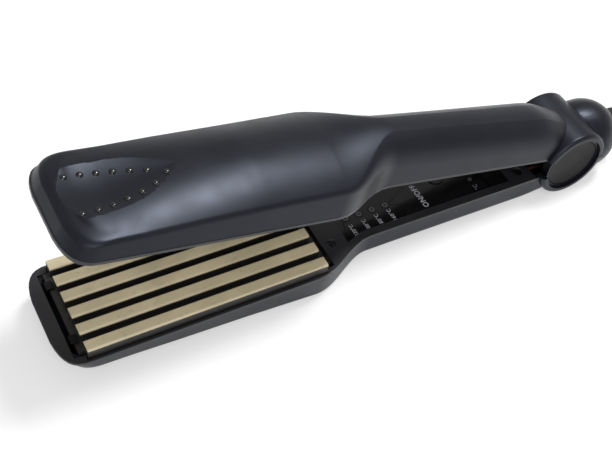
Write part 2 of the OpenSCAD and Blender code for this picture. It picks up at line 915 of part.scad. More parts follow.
module plate_holder() {
    difference() {
        block([holder_x0, -holder_half, holder_top], [holder_x1, holder_half, holder_bottom]);
        block([holder_x0 + holder_bar, holder_rail - holder_half, -far],
              [holder_x1 - holder_bar, holder_half - holder_rail, far]);
        for (x = holder_post_xs) for (y = [-post_y, post_y]) translate([x, y, 0]) {
            stud(small_shank_r + gap, -far, far);
            stud(small_head_r + gap, -far, holder_top + holder_sink + small_head_h);
        }
        at_clips() block([-clip_reach - holder_end, -clip_w / 2 - gap, holder_top + clip_drop - gap],
                         [0, clip_w / 2 + gap, holder_top + clip_drop + clip_t + gap]);
        for (y = [-clamp_screw_y, clamp_screw_y]) {
            translate([plate_mid_x, y, 0])
                stud(small_shank_r + fit, holder_bottom - clamp_bite - pilot_extra, far);
        }
    }
}

// C-shaped clip round the plate's tab and the holder's end
module clip() {
    over_z = rim - groove_top;
    under_z = holder_top + clip_drop;
    under_x = 2 * run - clip_reach - holder_end;
    block([run, -clip_w / 2, over_z - clip_t], [run + clip_t, clip_w / 2, under_z + clip_t]);
    block([run - clip_reach, -clip_w / 2, over_z - clip_t], [run + eps, clip_w / 2, over_z]);
    block([under_x, -clip_w / 2, under_z], [run + eps, clip_w / 2, under_z + clip_t]);
}

module heater_stack_mica() {
    block([plate_mid_x - heater_len / 2 - mica_margin, -heater_w / 2 - mica_margin, holder_top],
          [plate_mid_x + heater_len / 2 + mica_margin, heater_w / 2 + mica_margin, holder_top + mica_t]);
}

module heater() {
    block([plate_mid_x - heater_len / 2, -heater_w / 2, holder_top + mica_t],
          [plate_mid_x + heater_len / 2, heater_w / 2, holder_top + mica_t + heater_t]);
}

module heater_clamp() {
    difference() {
        block([plate_mid_x - clamp_w / 2, -holder_half, holder_bottom],
              [plate_mid_x + clamp_w / 2, holder_half, holder_bottom + clamp_t]);
        for (y = [-clamp_screw_y, clamp_screw_y]) {
            translate([plate_mid_x, y, 0]) stud(small_shank_r + gap, -far, far);
        }
    }
}

module clamp_screws() {
    for (y = [-clamp_screw_y, clamp_screw_y]) {
        translate([plate_mid_x, y, holder_bottom + clamp_t + small_head_h]) mirror([0, 0, 1])
            screw(small_head_r, small_head_h, small_shank_r, small_head_h + clamp_t + clamp_bite);
    }
}

module holder_screws() {
    for (x = holder_post_xs) for (y = [-post_y, post_y]) {
        translate([x, y, holder_top + holder_sink]) {
            screw(small_head_r, small_head_h, small_shank_r, holder_h - holder_sink + holder_bite);
        }
    }
}

module cover_screws() {
    at_cover_screws() translate([0, 0, rim + head_sink]) {
        screw(head_r, head_h, shank_r, head_h + screw_bite);
    }
}

lead_y = 4;
lead_bend = 5;
lead_drop = 8;
heater_end_x = plate_mid_x + heater_len / 2;
module heater_leads(end_x, end_z) {
    start_z = holder_top + mica_t + heater_t / 2;
    dip_z = holder_bottom + lead_d / 2 + run;
    holder_inner = holder_x1 - holder_bar;
    for (y = [-lead_y, lead_y]) {
        tube(concat(
            bezier_path([heater_end_x + fit, y, start_z], [heater_end_x + lead_bend, y, start_z],
                        [holder_inner - lead_drop, y, dip_z], [holder_inner, y, dip_z], 8),
            bezier_path([holder_x1, y, dip_z], [holder_x1 + lead_bend, y, dip_z],
                        [end_x - lead_bend, y, end_z], [end_x, y, end_z], 6)
        ), lead_d / 2, 8);
    }
}

module lower_plate_holder() {
    color("black") lower() plate_holder();
}

module lower_crimp_plate() {
    color("tan") lower() crimp_plate(lower_ribs, lower_rib_w);
}

module lower_plate_clips() {
    color("silver") lower() at_clips() clip();
}

module lower_mica_sheet() {
    color("wheat") lower() heater_stack_mica();
}

module lower_heater() {
    color("white") lower() heater();
}

module lower_heater_clamp() {
    color("silver") lower() heater_clamp();
}

module lower_clamp_screws() {
    color("gray") lower() clamp_screws();
}

// The sensor and the fuse stand on the plates between heater and holder
cutout_x = heater_end_x + mica_margin + 0.5;
cutout_y = 8.5;
module temp_sensor() {
    color("orange") lower() translate([cutout_x, cutout_y, holder_top + sensor_d / 2]) {
        long_rod(sensor_d / 2, 0, sensor_len);
    }
}

module lower_holder_screws() {
    color("gray") lower() holder_screws();
}

module lower_cover_screws() {
    color("gray") lower() cover_screws();
}

module upper_plate_holder() {
    color("black") upper() plate_holder();
}

module upper_crimp_plate() {
    color("tan") upper() crimp_plate(lower_ribs - 1, upper_rib_w);
}

module upper_plate_clips() {
    color("silver") upper() at_clips() clip();
}

module upper_mica_sheet() {
    color("wheat") upper() heater_stack_mica();
}

module upper_heater() {
    color("white") upper() heater();
}

module upper_heater_clamp() {
    color("silver") upper() heater_clamp();
}

module upper_clamp_screws() {
    color("gray") upper() clamp_screws();
}

module thermal_fuse() {
    color("silver") upper() translate([cutout_x, cutout_y, holder_top + fuse_d / 2]) {
        long_rod(fuse_d / 2, 0, fuse_len);
    }
}

module upper_holder_screws() {
    color("gray") upper() holder_screws();
}

module upper_cover_screws() {
    color("gray") upper() cover_screws();
}

// ---------------------------------------------------------------- control board

module control_board() {
    color("darkgreen") lower() difference() {
        block([board_x, -board_half, board_top], [board_x + board_len, board_half, board_bottom]);
        at_board_posts() stud(small_shank_r + gap, -far, far);
    }
}

module board_screws() {
    color("gray") lower() at_board_posts() {
        translate([0, 0, board_top - small_head_h]) {
            screw(small_head_r, small_head_h, small_shank_r, small_head_h + board_t + board_bite);
        }
    }
}

module tact_switches() {
    color("silver") lower() at_buttons() {
        block([-switch_w / 2, -switch_w / 2, board_top - switch_h], [switch_w / 2, switch_w / 2, board_top]);
    }
}

led_top = rim + cover_t + 0.9;
module indicator_leds() {
    color("red") lower() at_lights() {
        stud(lens_d / 2, led_top, board_top);
        translate([0, 0, led_top]) sphere(lens_d / 4);
    }
}

module led_lenses() {
    color("lightgray") lower() at_lights() stud(lens_d / 2, label_face - lens_proud, rim + cover_t);
}

// Components under the board: [place along the arm, length, half width, height]
chip = [chip_x, chip_len, 3, 1.6];
film_capacitor = [film_x, film_len, 4.2, 2.9];
triac_body = [triac_x, triac_len, 3, 2.2];
triac_tab = [triac_x, triac_len + tab_len, 3, 0.6];
round_y = 3;
capacitor_r = 1.6;
fuse_r = 1.3;

module under_board(c) {
    block([c[0], -c[2], board_bottom], [c[0] + c[1], c[2], board_bottom + c[3]]);
}

module controller_chip() {
    color("black") lower() under_board(chip);
}

module triac() {
    color("black") lower() {
        under_board(triac_body);
        under_board(triac_tab);
    }
}

module dropper_capacitor() {
    color("gold") lower() under_board(film_capacitor);
}

module smoothing_capacitor() {
    color("navy") lower() translate([round_x, round_y, board_bottom + capacitor_r]) {
        long_rod(capacitor_r, 0, round_len);
    }
}

module board_fuse() {
    color("silver") lower() translate([round_x, -round_y, board_bottom + fuse_r]) {
        long_rod(fuse_r, 0, round_len);
    }
}

module lower_heater_leads() {
    color("red") lower() heater_leads(board_x - run, (board_top + board_bottom) / 2);
}

module upper_heater_leads() {
    color("red") upper() heater_leads(knuckle_plate_x - lead_d, knuckle_plate_z + knuckle_plate_t / 2);
}

module supply_leads() {
    start = [board_x + board_len + gap, 0, (board_top + board_bottom) / 2];
    end = [core_x + overlap, 0, supply_z];
    bend = [supply_bend, 0, 0];
    color("saddlebrown") lower() for (y = [-supply_y, supply_y]) translate([0, y, 0]) {
        tube(bezier_path(start, start + bend, end - bend, end, 14), lead_d / 2, 8);
    }
}

// Push button with the flange that holds it under the cover
module button() {
    stud(button_d / 2, label_face - button_proud, flange_z + eps);
    stud(button_d / 2 + flange_w, flange_z, flange_z + flange_h);
}

module power_button() {
    color("gray") lower() at_power() button();
}

module temp_button() {
    color("gray") lower() at_temp() button();
}

// ---------------------------------------------------------------- hinge

module hinge_pin() {
    head_y = -(disc_face - cap_t - 2 * gap - pin_head_h);
    socket_y = head_y - pin_head_h + pin_socket;
    color("silver") place() {
        cross_disc(pin_d / 2, head_y - eps, disc_face - cap_t - 3 * gap);
        difference() {
            cross_disc(pin_head_r, head_y - pin_head_h, head_y);
            for (turn = [0, 60, 120]) rotate([0, turn, 0]) {
                block([-socket_half, -far, -socket_w / 2], [socket_half, socket_y, socket_w / 2]);
            }
        }
    }
}

module hinge_nut() {
    nut_y = disc_face - cap_t - 2 * gap - pin_head_h;
    color("silver") place() difference() {
        translate([0, nut_y + pin_head_h, 0]) rotate([90, 0, 0]) {
            cylinder(r = pin_head_r, h = pin_head_h, $fn = 6);
        }
        cross_disc(pin_d / 2 + fit, -far, far);
    }
}

// Dished round covers in the hinge discs
module hinge_caps() {
    color("dimgray") place() both_sides() difference() {
        cross_disc(cap_r, disc_face - cap_t, disc_face - fit);
        translate([0, disc_face - cap_dish, 0]) rotate([-90, 0, 0]) {
            cylinder(r1 = cap_r - cap_slope, r2 = cap_r - cap_rim, h = cap_dish);
        }
    }
}

// Torsion spring: a leg along the lower arm, the coil round the pin, and a leg along the upper arm
spring_step = 30;
spring_end = 360 * spring_turns + 180 + open_angle;
function spring_y(a) = spring_pitch * (a - spring_end / 2) / 360;
function spring_point(a) = [spring_r * sin(a), spring_y(a), -spring_r * cos(a)];
spring_coil = [for (i = [0:floor(spring_end / spring_step - 0.3)]) spring_point(i * spring_step)];
spring_tip = spring_point(spring_end);
spring_path = concat(
    [[-spring_leg, spring_y(0), -spring_r], [-spring_leg / 2, spring_y(0), -spring_r]],
    spring_coil,
    [spring_tip,
     spring_tip + spring_leg / 2 * [-cos(open_angle), 0, sin(open_angle)],
     spring_tip + spring_leg * [-cos(open_angle), 0, sin(open_angle)]]
);
near_steps = 4;
function least_gap(path, r) = min([for (i = [0:len(path) - 1]) for (j = [i + near_steps:1:len(path) - 1])
    norm(path[i] - path[j]) - 2 * r]);

module opening_spring() {
    echo(spring_gap = least_gap(spring_path, wire_d / 2));
    color("silver") place() tube(spring_path, wire_d / 2, 6);
}

module hinge_bushes() {
    color("goldenrod") upper() both_sides() difference() {
        cross_disc(bush_r, lug_in, lug_out);
        cross_disc(pin_d / 2 + fit, -far, far);
    }
}

module at_knuckle_screws() {
    for (y = [-knuckle_screw_y, knuckle_screw_y]) translate([knuckle_screw_x, y, 0]) children();
}

// Bearing block of the upper arm: two lugs on the pin, a saddle over the spring and a plate to the handle
module upper_knuckle() {
    saddle_r = drum_r - wall - gap;
    leg_y = spring_y(spring_end);
    color("black") upper() difference() {
        intersection() {
            union() {
                both_sides() {
                    cross_disc(lug_r, lug_in, lug_out);
                    block([-lug_r, lug_in, 0], [lug_r, lug_out, far]);
                }
                block([-saddle_half, -lug_out, saddle_in], [saddle_half, lug_out, far]);
                block([knuckle_plate_x, -knuckle_plate_half, knuckle_plate_z],
                      [overlap - lug_r, knuckle_plate_half, knuckle_plate_z + knuckle_plate_t]);
                at_tail_screws() stud(boss_r, rim + cover_t, knuckle_plate_z + overlap);
                block([-spring_leg - rest_over, leg_y - rest_half, leg_z],
                      [-lug_r, leg_y + rest_half, knuckle_plate_z + overlap]);
            }
            union() {
                cross_disc(saddle_r, -far, far);
                block([-far, -far, -far], [overlap - lug_r, far, knuckle_plate_z + knuckle_plate_t]);
            }
        }
        both_sides() cross_disc(bush_r + press, 0, far);
        at_knuckle_screws() stud(small_shank_r + gap, -far, far);
        at_tail_screws() stud(shank_r + fit, -far, far);
    }
}

module knuckle_screws() {
    color("gray") upper() at_knuckle_screws() translate([0, 0, knuckle_plate_z - small_head_h]) {
        screw(small_head_r, small_head_h, small_shank_r, small_head_h + knuckle_plate_t + 2.6);
    }
}

// ---------------------------------------------------------------- tail

// Half section of the cord gland: distance from its axis, then place along the arm
module gland_section() {
    end_x = tail_end_x + gland_gap + gland_out;
    collar_x = tail_centre + tail_r / 2;
    r = gland_d / 2;
    difference() {
        union() {
            translate([0, collar_x]) square([r, end_x - gland_round - collar_x]);
            translate([0, collar_x]) square([r - gland_round, end_x - collar_x]);
            translate([r - gland_round, end_x - gland_round]) circle(gland_round);
        }
        translate([0, tail_centre]) circle(tail_r + gland_gap);
    }
    translate([0, flange_x]) square([neck_r, tail_end_x + overlap - flange_x]);
    translate([0, flange_x - flange_t]) square([flange_r, flange_t]);
    translate([0, core_x]) square([core_r, flange_x - core_x]);
}

// Turning gland with a true bore for the cord
module cord_swivel() {
    color("black") place() rotate([0, 90, 0]) rotate_extrude() difference() {
        gland_section();
        translate([-far, flange_x - flange_t]) square([far + cord_bore_d / 2, far]);
        translate([-far, -far]) square([far + core_bore_r, 2 * far]);
    }
}

module slip_rings() {
    color("gold") place() for (x = ring_xs) difference() {
        long_rod(ring_r, x, x + ring_w);
        long_rod(core_r + press, 0, far);
    }
}

module terminal_block() {
    color("white") lower() difference() {
        intersection() {
            block([core_x, -block_half, block_top], [core_x + block_len, block_half, far]);
            union() {
                long_rod(tail_r - wall - gap, 0, tail_centre);
                translate([tail_centre, 0, 0]) sphere(tail_r - wall - gap);
            }
        }
        for (y = [-supply_y, supply_y]) translate([0, y, supply_z]) {
            long_rod(lead_d / 2 + fit, 0, core_x + supply_sink);
        }
        at_blades() translate([-fit, -fit, 0]) cube([blade_w + 2 * fit, blade_t + 2 * fit, far]);
    }
}

module at_blades() {
    blade_y = ring_r + blade_gap;
    translate([ring_xs[0] + (ring_w - blade_w) / 2, -blade_y - blade_t, 0]) children();
    translate([ring_xs[1] + (ring_w - blade_w) / 2, blade_y, 0]) children();
}

module contact_blades() {
    color("gold") lower() at_blades() block([0, 0, -blade_reach], [blade_w, blade_t, block_top + blade_root]);
}

lower_shell();
lower_inner_cover();
label_panel();
lower_plate_holder();
lower_crimp_plate();
lower_plate_clips();
lower_mica_sheet();
lower_heater();
lower_heater_clamp();
lower_clamp_screws();
temp_sensor();
lower_holder_screws();
lower_cover_screws();
control_board();
controller_chip();
triac();
dropper_capacitor();
smoothing_capacitor();
board_fuse();
board_screws();
tact_switches();
indicator_leds();
led_lenses();
lower_heater_leads();
supply_leads();
tail_cap();
terminal_block();
contact_blades();
hinge_pin();
hinge_nut();
hinge_caps();
opening_spring();
upper_shell();
grip_studs();
upper_inner_cover();
upper_plate_holder();
upper_crimp_plate();
upper_plate_clips();
upper_mica_sheet();
upper_heater();
upper_heater_clamp();
upper_clamp_screws();
thermal_fuse();
upper_holder_screws();
upper_cover_screws();
upper_knuckle();
knuckle_screws();
hinge_bushes();
upper_heater_leads();
power_button();
temp_button();
cord_swivel();
slip_rings();
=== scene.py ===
import json
import math

import bmesh
import bpy
import numpy as np
from mathutils import Matrix, Vector
from mathutils.bvhtree import BVHTree

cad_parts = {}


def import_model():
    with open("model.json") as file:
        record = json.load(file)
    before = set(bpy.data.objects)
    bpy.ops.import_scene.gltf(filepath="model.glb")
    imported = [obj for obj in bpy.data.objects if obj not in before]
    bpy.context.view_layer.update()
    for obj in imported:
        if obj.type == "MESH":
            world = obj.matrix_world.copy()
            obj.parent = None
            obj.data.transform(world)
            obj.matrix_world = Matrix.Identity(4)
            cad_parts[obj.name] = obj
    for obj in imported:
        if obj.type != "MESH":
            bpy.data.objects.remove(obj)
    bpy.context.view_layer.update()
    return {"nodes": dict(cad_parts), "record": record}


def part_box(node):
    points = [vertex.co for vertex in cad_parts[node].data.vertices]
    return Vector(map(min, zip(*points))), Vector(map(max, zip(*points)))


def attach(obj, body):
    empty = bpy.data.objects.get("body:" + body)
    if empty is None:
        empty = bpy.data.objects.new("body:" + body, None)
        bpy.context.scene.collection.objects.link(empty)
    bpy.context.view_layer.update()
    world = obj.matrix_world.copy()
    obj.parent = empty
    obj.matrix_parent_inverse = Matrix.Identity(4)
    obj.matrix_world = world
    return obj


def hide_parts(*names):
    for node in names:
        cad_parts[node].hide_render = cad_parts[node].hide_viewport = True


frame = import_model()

# ---------------------------------------------------------------- values of the part, in millimetres
MM = 0.001

# Past the whole part, past an arm's side, and the gaps round moving and fixed pieces
FAR = 400.0
PAST = 60.0
RUN = 0.3
GAP = 0.15

# Arms: the rim's height is over the middle of the closed iron, and x is 0 on the hinge
ARM_REACH = 237.2
OPEN = math.radians(11.7)
RIM = 3.2
WALL = 2.2
LIP = 1.2
HEAD_W = 48.0
HEAD_LEN = 104.2
HEAD_EDGE = 1.4
WAIST_LEN = 30.0
WAIST_DEPTH = 12.6
SIDE_LEAN = 1.7
LEAN_LEAD = 14.0
UPPER_CROWN = 6.4
LOWER_CROWN = 0.8
HANDLE_W = 25.8
HANDLE_END_W = 27.2
HANDLE_LEAN = 0.7
HINGE_DEPTH = 10.0
LOFT_END_X = -2.0
FALL_X = -24.0

# Nose, and the face behind it
NOSE_DEPTH = 7.4
NOSE_LEN = 12.5
NOSE_FIRST = 14.0
NOSE_POWER = 3.2
NOSE_ROUND = 9.0
NOSE_DROP = 0.2
NOSE_RISE = 0.5
NOSE_CROWN_POWER = 2.6
FRONT_POWER = 1.9
FRONT_BACK = 7.4
LAG_RUN = 30.0
FACE_SLOPE = 0.6
FACE_SHARE = 0.35
FACE_GAP = 2.6
FACE_INSIDE = 1.0
CROWN_RUN = 65.0
CROWN_START = 0.375

# Hinge and tail
DISC_R = 13.5
DISC_FACE = 14.4
DISC_IN = 10.4
DISC_STEP = 0.4
CAP_R = DISC_R - 1.0
CAP_SEAT = 1.25
PIN_HOLE_R = 2.55
DRUM_HALF = 15.8
DRUM_ROUND = 1.8
TAIL_R = 15.8
TAIL_CENTRE = 15.8
NECK_HOLE_R = 5.3
GLAND_GAP = 0.3
GLAND_OUT = 6.0
COLLAR_R = 13.6 / 2 + 1.6
COLLAR_START = TAIL_CENTRE + 5
CUT_ANGLE = math.radians(51.8)

# Thumb recess
BOWL_LEN = 37.5
BOWL_HALF = 12.2
BOWL_DEPTH = 2.5
BOWL_POWER = 3.2
BOWL_SHIFT = 0.6
BOWL_LEAN = 1.8
BOWL_FADE = 0.08
BOWL_WALL = 1.5
BOWL_AHEAD = 14
BOWL_MARGIN = 2.5

# What follows from these
NOSE_X = -ARM_REACH
WAIST_X = NOSE_X + HEAD_LEN
HANDLE_X = WAIST_X + WAIST_LEN
COVER_END_X = -(DISC_R + 4.6)
FACE_START = NOSE_X + NOSE_ROUND
PANEL_Z = RIM + 1.6 - 0.6
DRUM_R = RIM + WAIST_DEPTH + LOWER_CROWN
CUT_R = DRUM_R - 0.3
HINGE = Vector(((ARM_REACH - TAIL_CENTRE - TAIL_R - GLAND_GAP - GLAND_OUT) / 2, 0.0, DRUM_R))

# Rise of the head, then depth, fall, edge and rise of the handle
LOWER_FORM = (LOWER_CROWN, 12.0, 0.0, 3.2, LOWER_CROWN)
UPPER_FORM = (UPPER_CROWN, 18.3, 4.0, 8.0, 3.6)

# Places of an arm-frame point in the whole part
PLACE = Matrix.Translation(HINGE)
LOWER = PLACE @ Matrix.Diagonal((1.0, 1.0, -1.0, 1.0))
UPPER = PLACE @ Matrix.Rotation(OPEN, 4, "Y")


# ---------------------------------------------------------------- outline of an arm
def smooth(t):
    t = min(max(t, 0.0), 1.0)
    return t * t * (3 - 2 * t)


def mix(a, b, t):
    return a + (b - a) * t


def waist_share(x):
    """0 on the head, 1 on the handle."""
    return smooth((x - WAIST_X) / WAIST_LEN)


def half_w(x):
    handle = mix(HANDLE_W, HANDLE_END_W, smooth((x - HANDLE_X) / (LOFT_END_X - HANDLE_X))) / 2
    return mix(HEAD_W / 2, handle, waist_share(x))


def head_depth(x):
    """Height of the head's side over its rim."""
    return mix(NOSE_DEPTH, WAIST_DEPTH, min(1.0, (x - NOSE_X) / HEAD_LEN))


def head_rise(x, rise):
    return rise * mix(CROWN_START, 1.0, max(0.0, min(1.0, (x - FACE_START) / CROWN_RUN)))


def side_depth(x, form):
    fall = form[2] * max(0.0, (x - HANDLE_X) / (FALL_X - HANDLE_X))
    fall += max(0.0, form[1] - form[2] - HINGE_DEPTH) * smooth((x - FALL_X) / (LOFT_END_X - FALL_X))
    return mix(head_depth(x), form[1] - fall, waist_share(x))


def crown(x, form):
    """Rise of the face's middle over its sides."""
    return mix(head_rise(x, form[0]), form[4], waist_share(x))


def stations(inset, steps):
    """Places of the cross-sections: (x, share of the full width, whether it is on the nose)."""
    nose, head, waist, handle = steps
    rows = []
    for i in range(nose + 1):
        turn = math.radians(NOSE_FIRST + (90 - NOSE_FIRST) * i / nose)
        run = NOSE_LEN * (1 - abs(math.cos(turn)) ** (2 / NOSE_POWER))
        rows.append((NOSE_X + inset + run, math.sin(turn) ** (2 / NOSE_POWER), True))
    rows += [(FACE_START + mix(NOSE_LEN + FACE_GAP, CROWN_RUN, i / head), 1.0, False) for i in range(1, head + 1)]
    rows += [(WAIST_X + WAIST_LEN * i / waist, 1.0, False) for i in range(waist + 1)]
    rows += [(mix(HANDLE_X, LOFT_END_X, i / handle), 1.0, False) for i in range(1, handle + 1)]
    return rows


def half_section(x, inset, form, low, edge_steps, crown_steps):
    """Half a cross-section from the rim to the middle, as (across, out from the rim)."""
    depth = side_depth(x, form) - inset
    rise = crown(x, form)
    lean = mix(SIDE_LEAN, HANDLE_LEAN, smooth((x - WAIST_X + LEAN_LEAD) / WAIST_LEN))
    edge = mix(HEAD_EDGE, form[3], waist_share(x)) - inset / 4
    w = half_w(x) - inset
    top = w - lean
    flat = top - edge
    near_nose = 0.0 if inset else 1 - smooth((x - FACE_START) / CROWN_RUN)
    power = mix(2.0, NOSE_CROWN_POWER, near_nose)
    if form[0] > LOWER_CROWN:
        depth -= NOSE_DROP * near_nose
        rise += NOSE_RISE * near_nose

    def bow(y):
        return depth + rise * (1 - abs(y / top) ** power)

    side = np.array((w - lean * (depth - edge) / depth, depth - edge))
    corner = np.array((top, depth))
    shoulder = np.array((flat, bow(flat)))
    points = [(w, low)]
    for i in range(edge_steps + 1):
        t = i / edge_steps
        points.append(tuple((1 - t) ** 2 * side + 2 * t * (1 - t) * corner + t * t * shoulder))
    for i in range(1, crown_steps + 1):
        y = flat * (1 - i / crown_steps)
        points.append((y, bow(y)))
    return points, depth + FACE_SHARE * rise


def nose_back(p, full, inset):
    """How far a point of the nose stands back from the rim: the outside is flatter than the room inside."""
    if p <= 0:
        return 0.0
    power, back = (2.0, NOSE_ROUND) if inset else (FRONT_POWER, FRONT_BACK)
    if p <= full:
        return back * (1 - (1 - (p / full) ** power) ** (1 / power))
    return back + FACE_SLOPE * (p - full)


def lag(x):
    """Behind the nose, the face's height still follows the nose's set-back sections, and less and less so."""
    return FRONT_BACK * (1 - smooth((x - NOSE_X - NOSE_LEN - FRONT_BACK) / LAG_RUN))


def arm_loft(name, inset, form, low, steps=(20, 14, 26, 20), edge_steps=8, crown_steps=12):
    """Closed solid of an arm, from the nose to the hinge, moved in by the inset."""
    verts, faces = [], []
    rows = stations(inset, steps)
    for x, share, nose in rows:
        half, full = half_section(x if nose or inset else x - lag(x), inset, form, low, edge_steps, crown_steps)
        ring = [(-y, p) for y, p in half] + [(y, p) for y, p in half[-2::-1]]
        for y, p in ring:
            verts.append((x + (nose_back(p, full, inset) if nose else 0.0), y * share, RIM + p))
    n = len(verts) // len(rows)
    for i in range(len(rows) - 1):
        for j in range(n - 1):
            faces.append((i * n + j, i * n + j + 1, (i + 1) * n + j + 1, (i + 1) * n + j))
        faces.append((i * n + n - 1, i * n, (i + 1) * n, (i + 1) * n + n - 1))
    mid = n // 2
    for k in range(mid):
        quad = (k, n - 1 - k, n - 2 - k, k + 1)
        faces.append(quad if k < mid - 1 else (k, n - 1 - k, mid))
    faces.append(tuple(range((len(rows) - 1) * n, len(rows) * n)))
    return mesh_object(name, verts, faces)


# ---------------------------------------------------------------- mesh helpers
def mesh_object(name, verts, faces):
    """Mesh from points in millimetres, with its faces turned outwards."""
    mesh = bpy.data.meshes.new(name)
    mesh.from_pydata([tuple(c * MM for c in v) for v in verts], [], faces)
    bm = bmesh.new()
    bm.from_mesh(mesh)
    bmesh.ops.recalc_face_normals(bm, faces=bm.faces)
    bm.to_mesh(mesh)
    bm.free()
    obj = bpy.data.objects.new(name, mesh)
    bpy.context.scene.collection.objects.link(obj)
    return obj


def lathe(name, profile, axis, steps=96, closed=False, phase=0.0):
    """Solid turned round an axis through the hinge: the profile is a list of (radius, place along the axis)."""
    profile = list(profile)
    caps = []
    for end, beside in ((0, 1), (-1, -2)):
        flat = profile[end][0] < 1e-6 and abs(profile[end][1] - profile[beside][1]) < 1e-6
        caps.append(flat and not closed)
    profile = profile[1 if caps[0] else 0:len(profile) - (1 if caps[1] else 0)]
    verts, faces, rings = [], [], []
    for r, t in profile:
        ring = []
        count = 1 if r < 1e-6 else steps
        for k in range(count):
            a = 2 * math.pi * (k + phase) / steps
            u, v = r * math.cos(a), r * math.sin(a)
            ring.append(len(verts))
            verts.append({"X": (t, u, v), "Y": (u, t, v), "Z": (u, v, t)}[axis])
        rings.append(ring)
    pairs = list(zip(rings, rings[1:]))
    if closed:
        pairs.append((rings[-1], rings[0]))
    for a, b in pairs:
        for k in range(steps):
            m = (k + 1) % steps
            face = [a[k % len(a)], a[m % len(a)], b[m % len(b)], b[k % len(b)]]
            face = list(dict.fromkeys(face))
            if len(face) > 2:
                faces.append(tuple(face))
    faces += [tuple(ring) for ring, flat in zip((rings[0], rings[-1]), caps) if flat]
    return mesh_object(name, verts, faces)


BOX_FACES = ((0, 1, 3, 2), (4, 6, 7, 5), (0, 4, 5, 1), (2, 3, 7, 6), (0, 2, 6, 4), (1, 5, 7, 3))


def block(name, a, b):
    verts = [(x, y, z) for x in (a[0], b[0]) for y in (a[1], b[1]) for z in (a[2], b[2])]
    return mesh_object(name, verts, BOX_FACES)


def move(obj, matrix):
    """Moves a mesh by a matrix whose shift is in millimetres."""
    metres = matrix.copy()
    metres.translation = matrix.translation * MM
    obj.data.transform(metres)
    if metres.determinant() < 0:
        obj.data.flip_normals()
    return obj


def combine(target, tools, operation):
    """Adds all the tools to the target, or takes them all away, in one exact step."""
    group = bpy.data.collections.new("tools")
    for tool in tools:
        group.objects.link(tool)
    step = target.modifiers.new("solid", "BOOLEAN")
    step.operation = operation
    step.solver = "EXACT"
    step.operand_type = "COLLECTION"
    step.collection = group
    bpy.context.view_layer.objects.active = target
    bpy.ops.object.modifier_apply(modifier=step.name)
    bpy.data.collections.remove(group)
    for tool in tools:
        bpy.data.objects.remove(tool)
    return target


def finish_mesh(obj, angle=32.0):
    """Smooth shading between faces that meet at less than the angle."""
    bm = bmesh.new()
    bm.from_mesh(obj.data)
    bmesh.ops.remove_doubles(bm, verts=bm.verts, dist=4e-7)
    bmesh.ops.dissolve_degenerate(bm, edges=bm.edges, dist=4e-7)
    limit = math.radians(angle)
    for face in bm.faces:
        face.smooth = True
    for edge in bm.edges:
        edge.smooth = edge.calc_face_angle(0.0) < limit
    bm.to_mesh(obj.data)
    bm.free()
    step = obj.modifiers.new("normals", "WEIGHTED_NORMAL")
    step.keep_sharp = True
    step.weight = 50
    return obj


# ---------------------------------------------------------------- casings
def arc(cx, cy, r, a0, a1, steps):
    return [(cx + r * math.cos(math.radians(mix(a0, a1, i / steps))),
             cy + r * math.sin(math.radians(mix(a0, a1, i / steps)))) for i in range(steps + 1)]


def drum(name, inset):
    """Round cross-piece of the hinge."""
    r, half = DRUM_R - inset, DRUM_HALF - inset
    e = DRUM_ROUND - inset / 2
    profile = [(0.0, -half)] + arc(r - e, e - half, e, -90, 0, 8) + arc(r - e, half - e, e, 0, 90, 8) + [(0.0, half)]
    return lathe(name, profile, "Y", 128, phase=0.5 if inset else 0.0)


def barrel(name, inset):
    """Domed tail behind the hinge."""
    r = TAIL_R - inset
    profile = [(0.0, 0.0), (r, 0.0)] + [(r * math.cos(math.radians(a)), TAIL_CENTRE + r * math.sin(math.radians(a)))
                                        for a in np.linspace(0, 88, 24)] + [(0.0, TAIL_CENTRE + r)]
    return lathe(name, profile, "X", 128, phase=0.5 if inset else 0.0)


def cross_disc(name, r, y0, y1, steps=128, phase=0.25):
    return lathe(name, [(0.0, y0), (r, y0), (r, y1), (0.0, y1)], "Y", steps, phase=phase)


def outside(name, form, turn, **steps):
    """Outside of a casing: the arm, the drum and the tail in one."""
    tail = move(barrel(name + "_tail", 0.0), Matrix.Rotation(turn, 4, "Y"))
    return combine(arm_loft(name, 0.0, form, 0.0, **steps), [drum(name + "_drum", 0.0), tail], "UNION")


def rooms(name, form, turn):
    """The same three shapes moved in by the wall, to be taken out."""
    tail = move(barrel(name + "_room_tail", WALL), Matrix.Rotation(turn, 4, "Y"))
    arm = arm_loft(name + "_room", WALL, form, -1.0, steps=(10, 6, 12, 8), edge_steps=4, crown_steps=4)
    return [arm, drum(name + "_room_drum", WALL), tail]


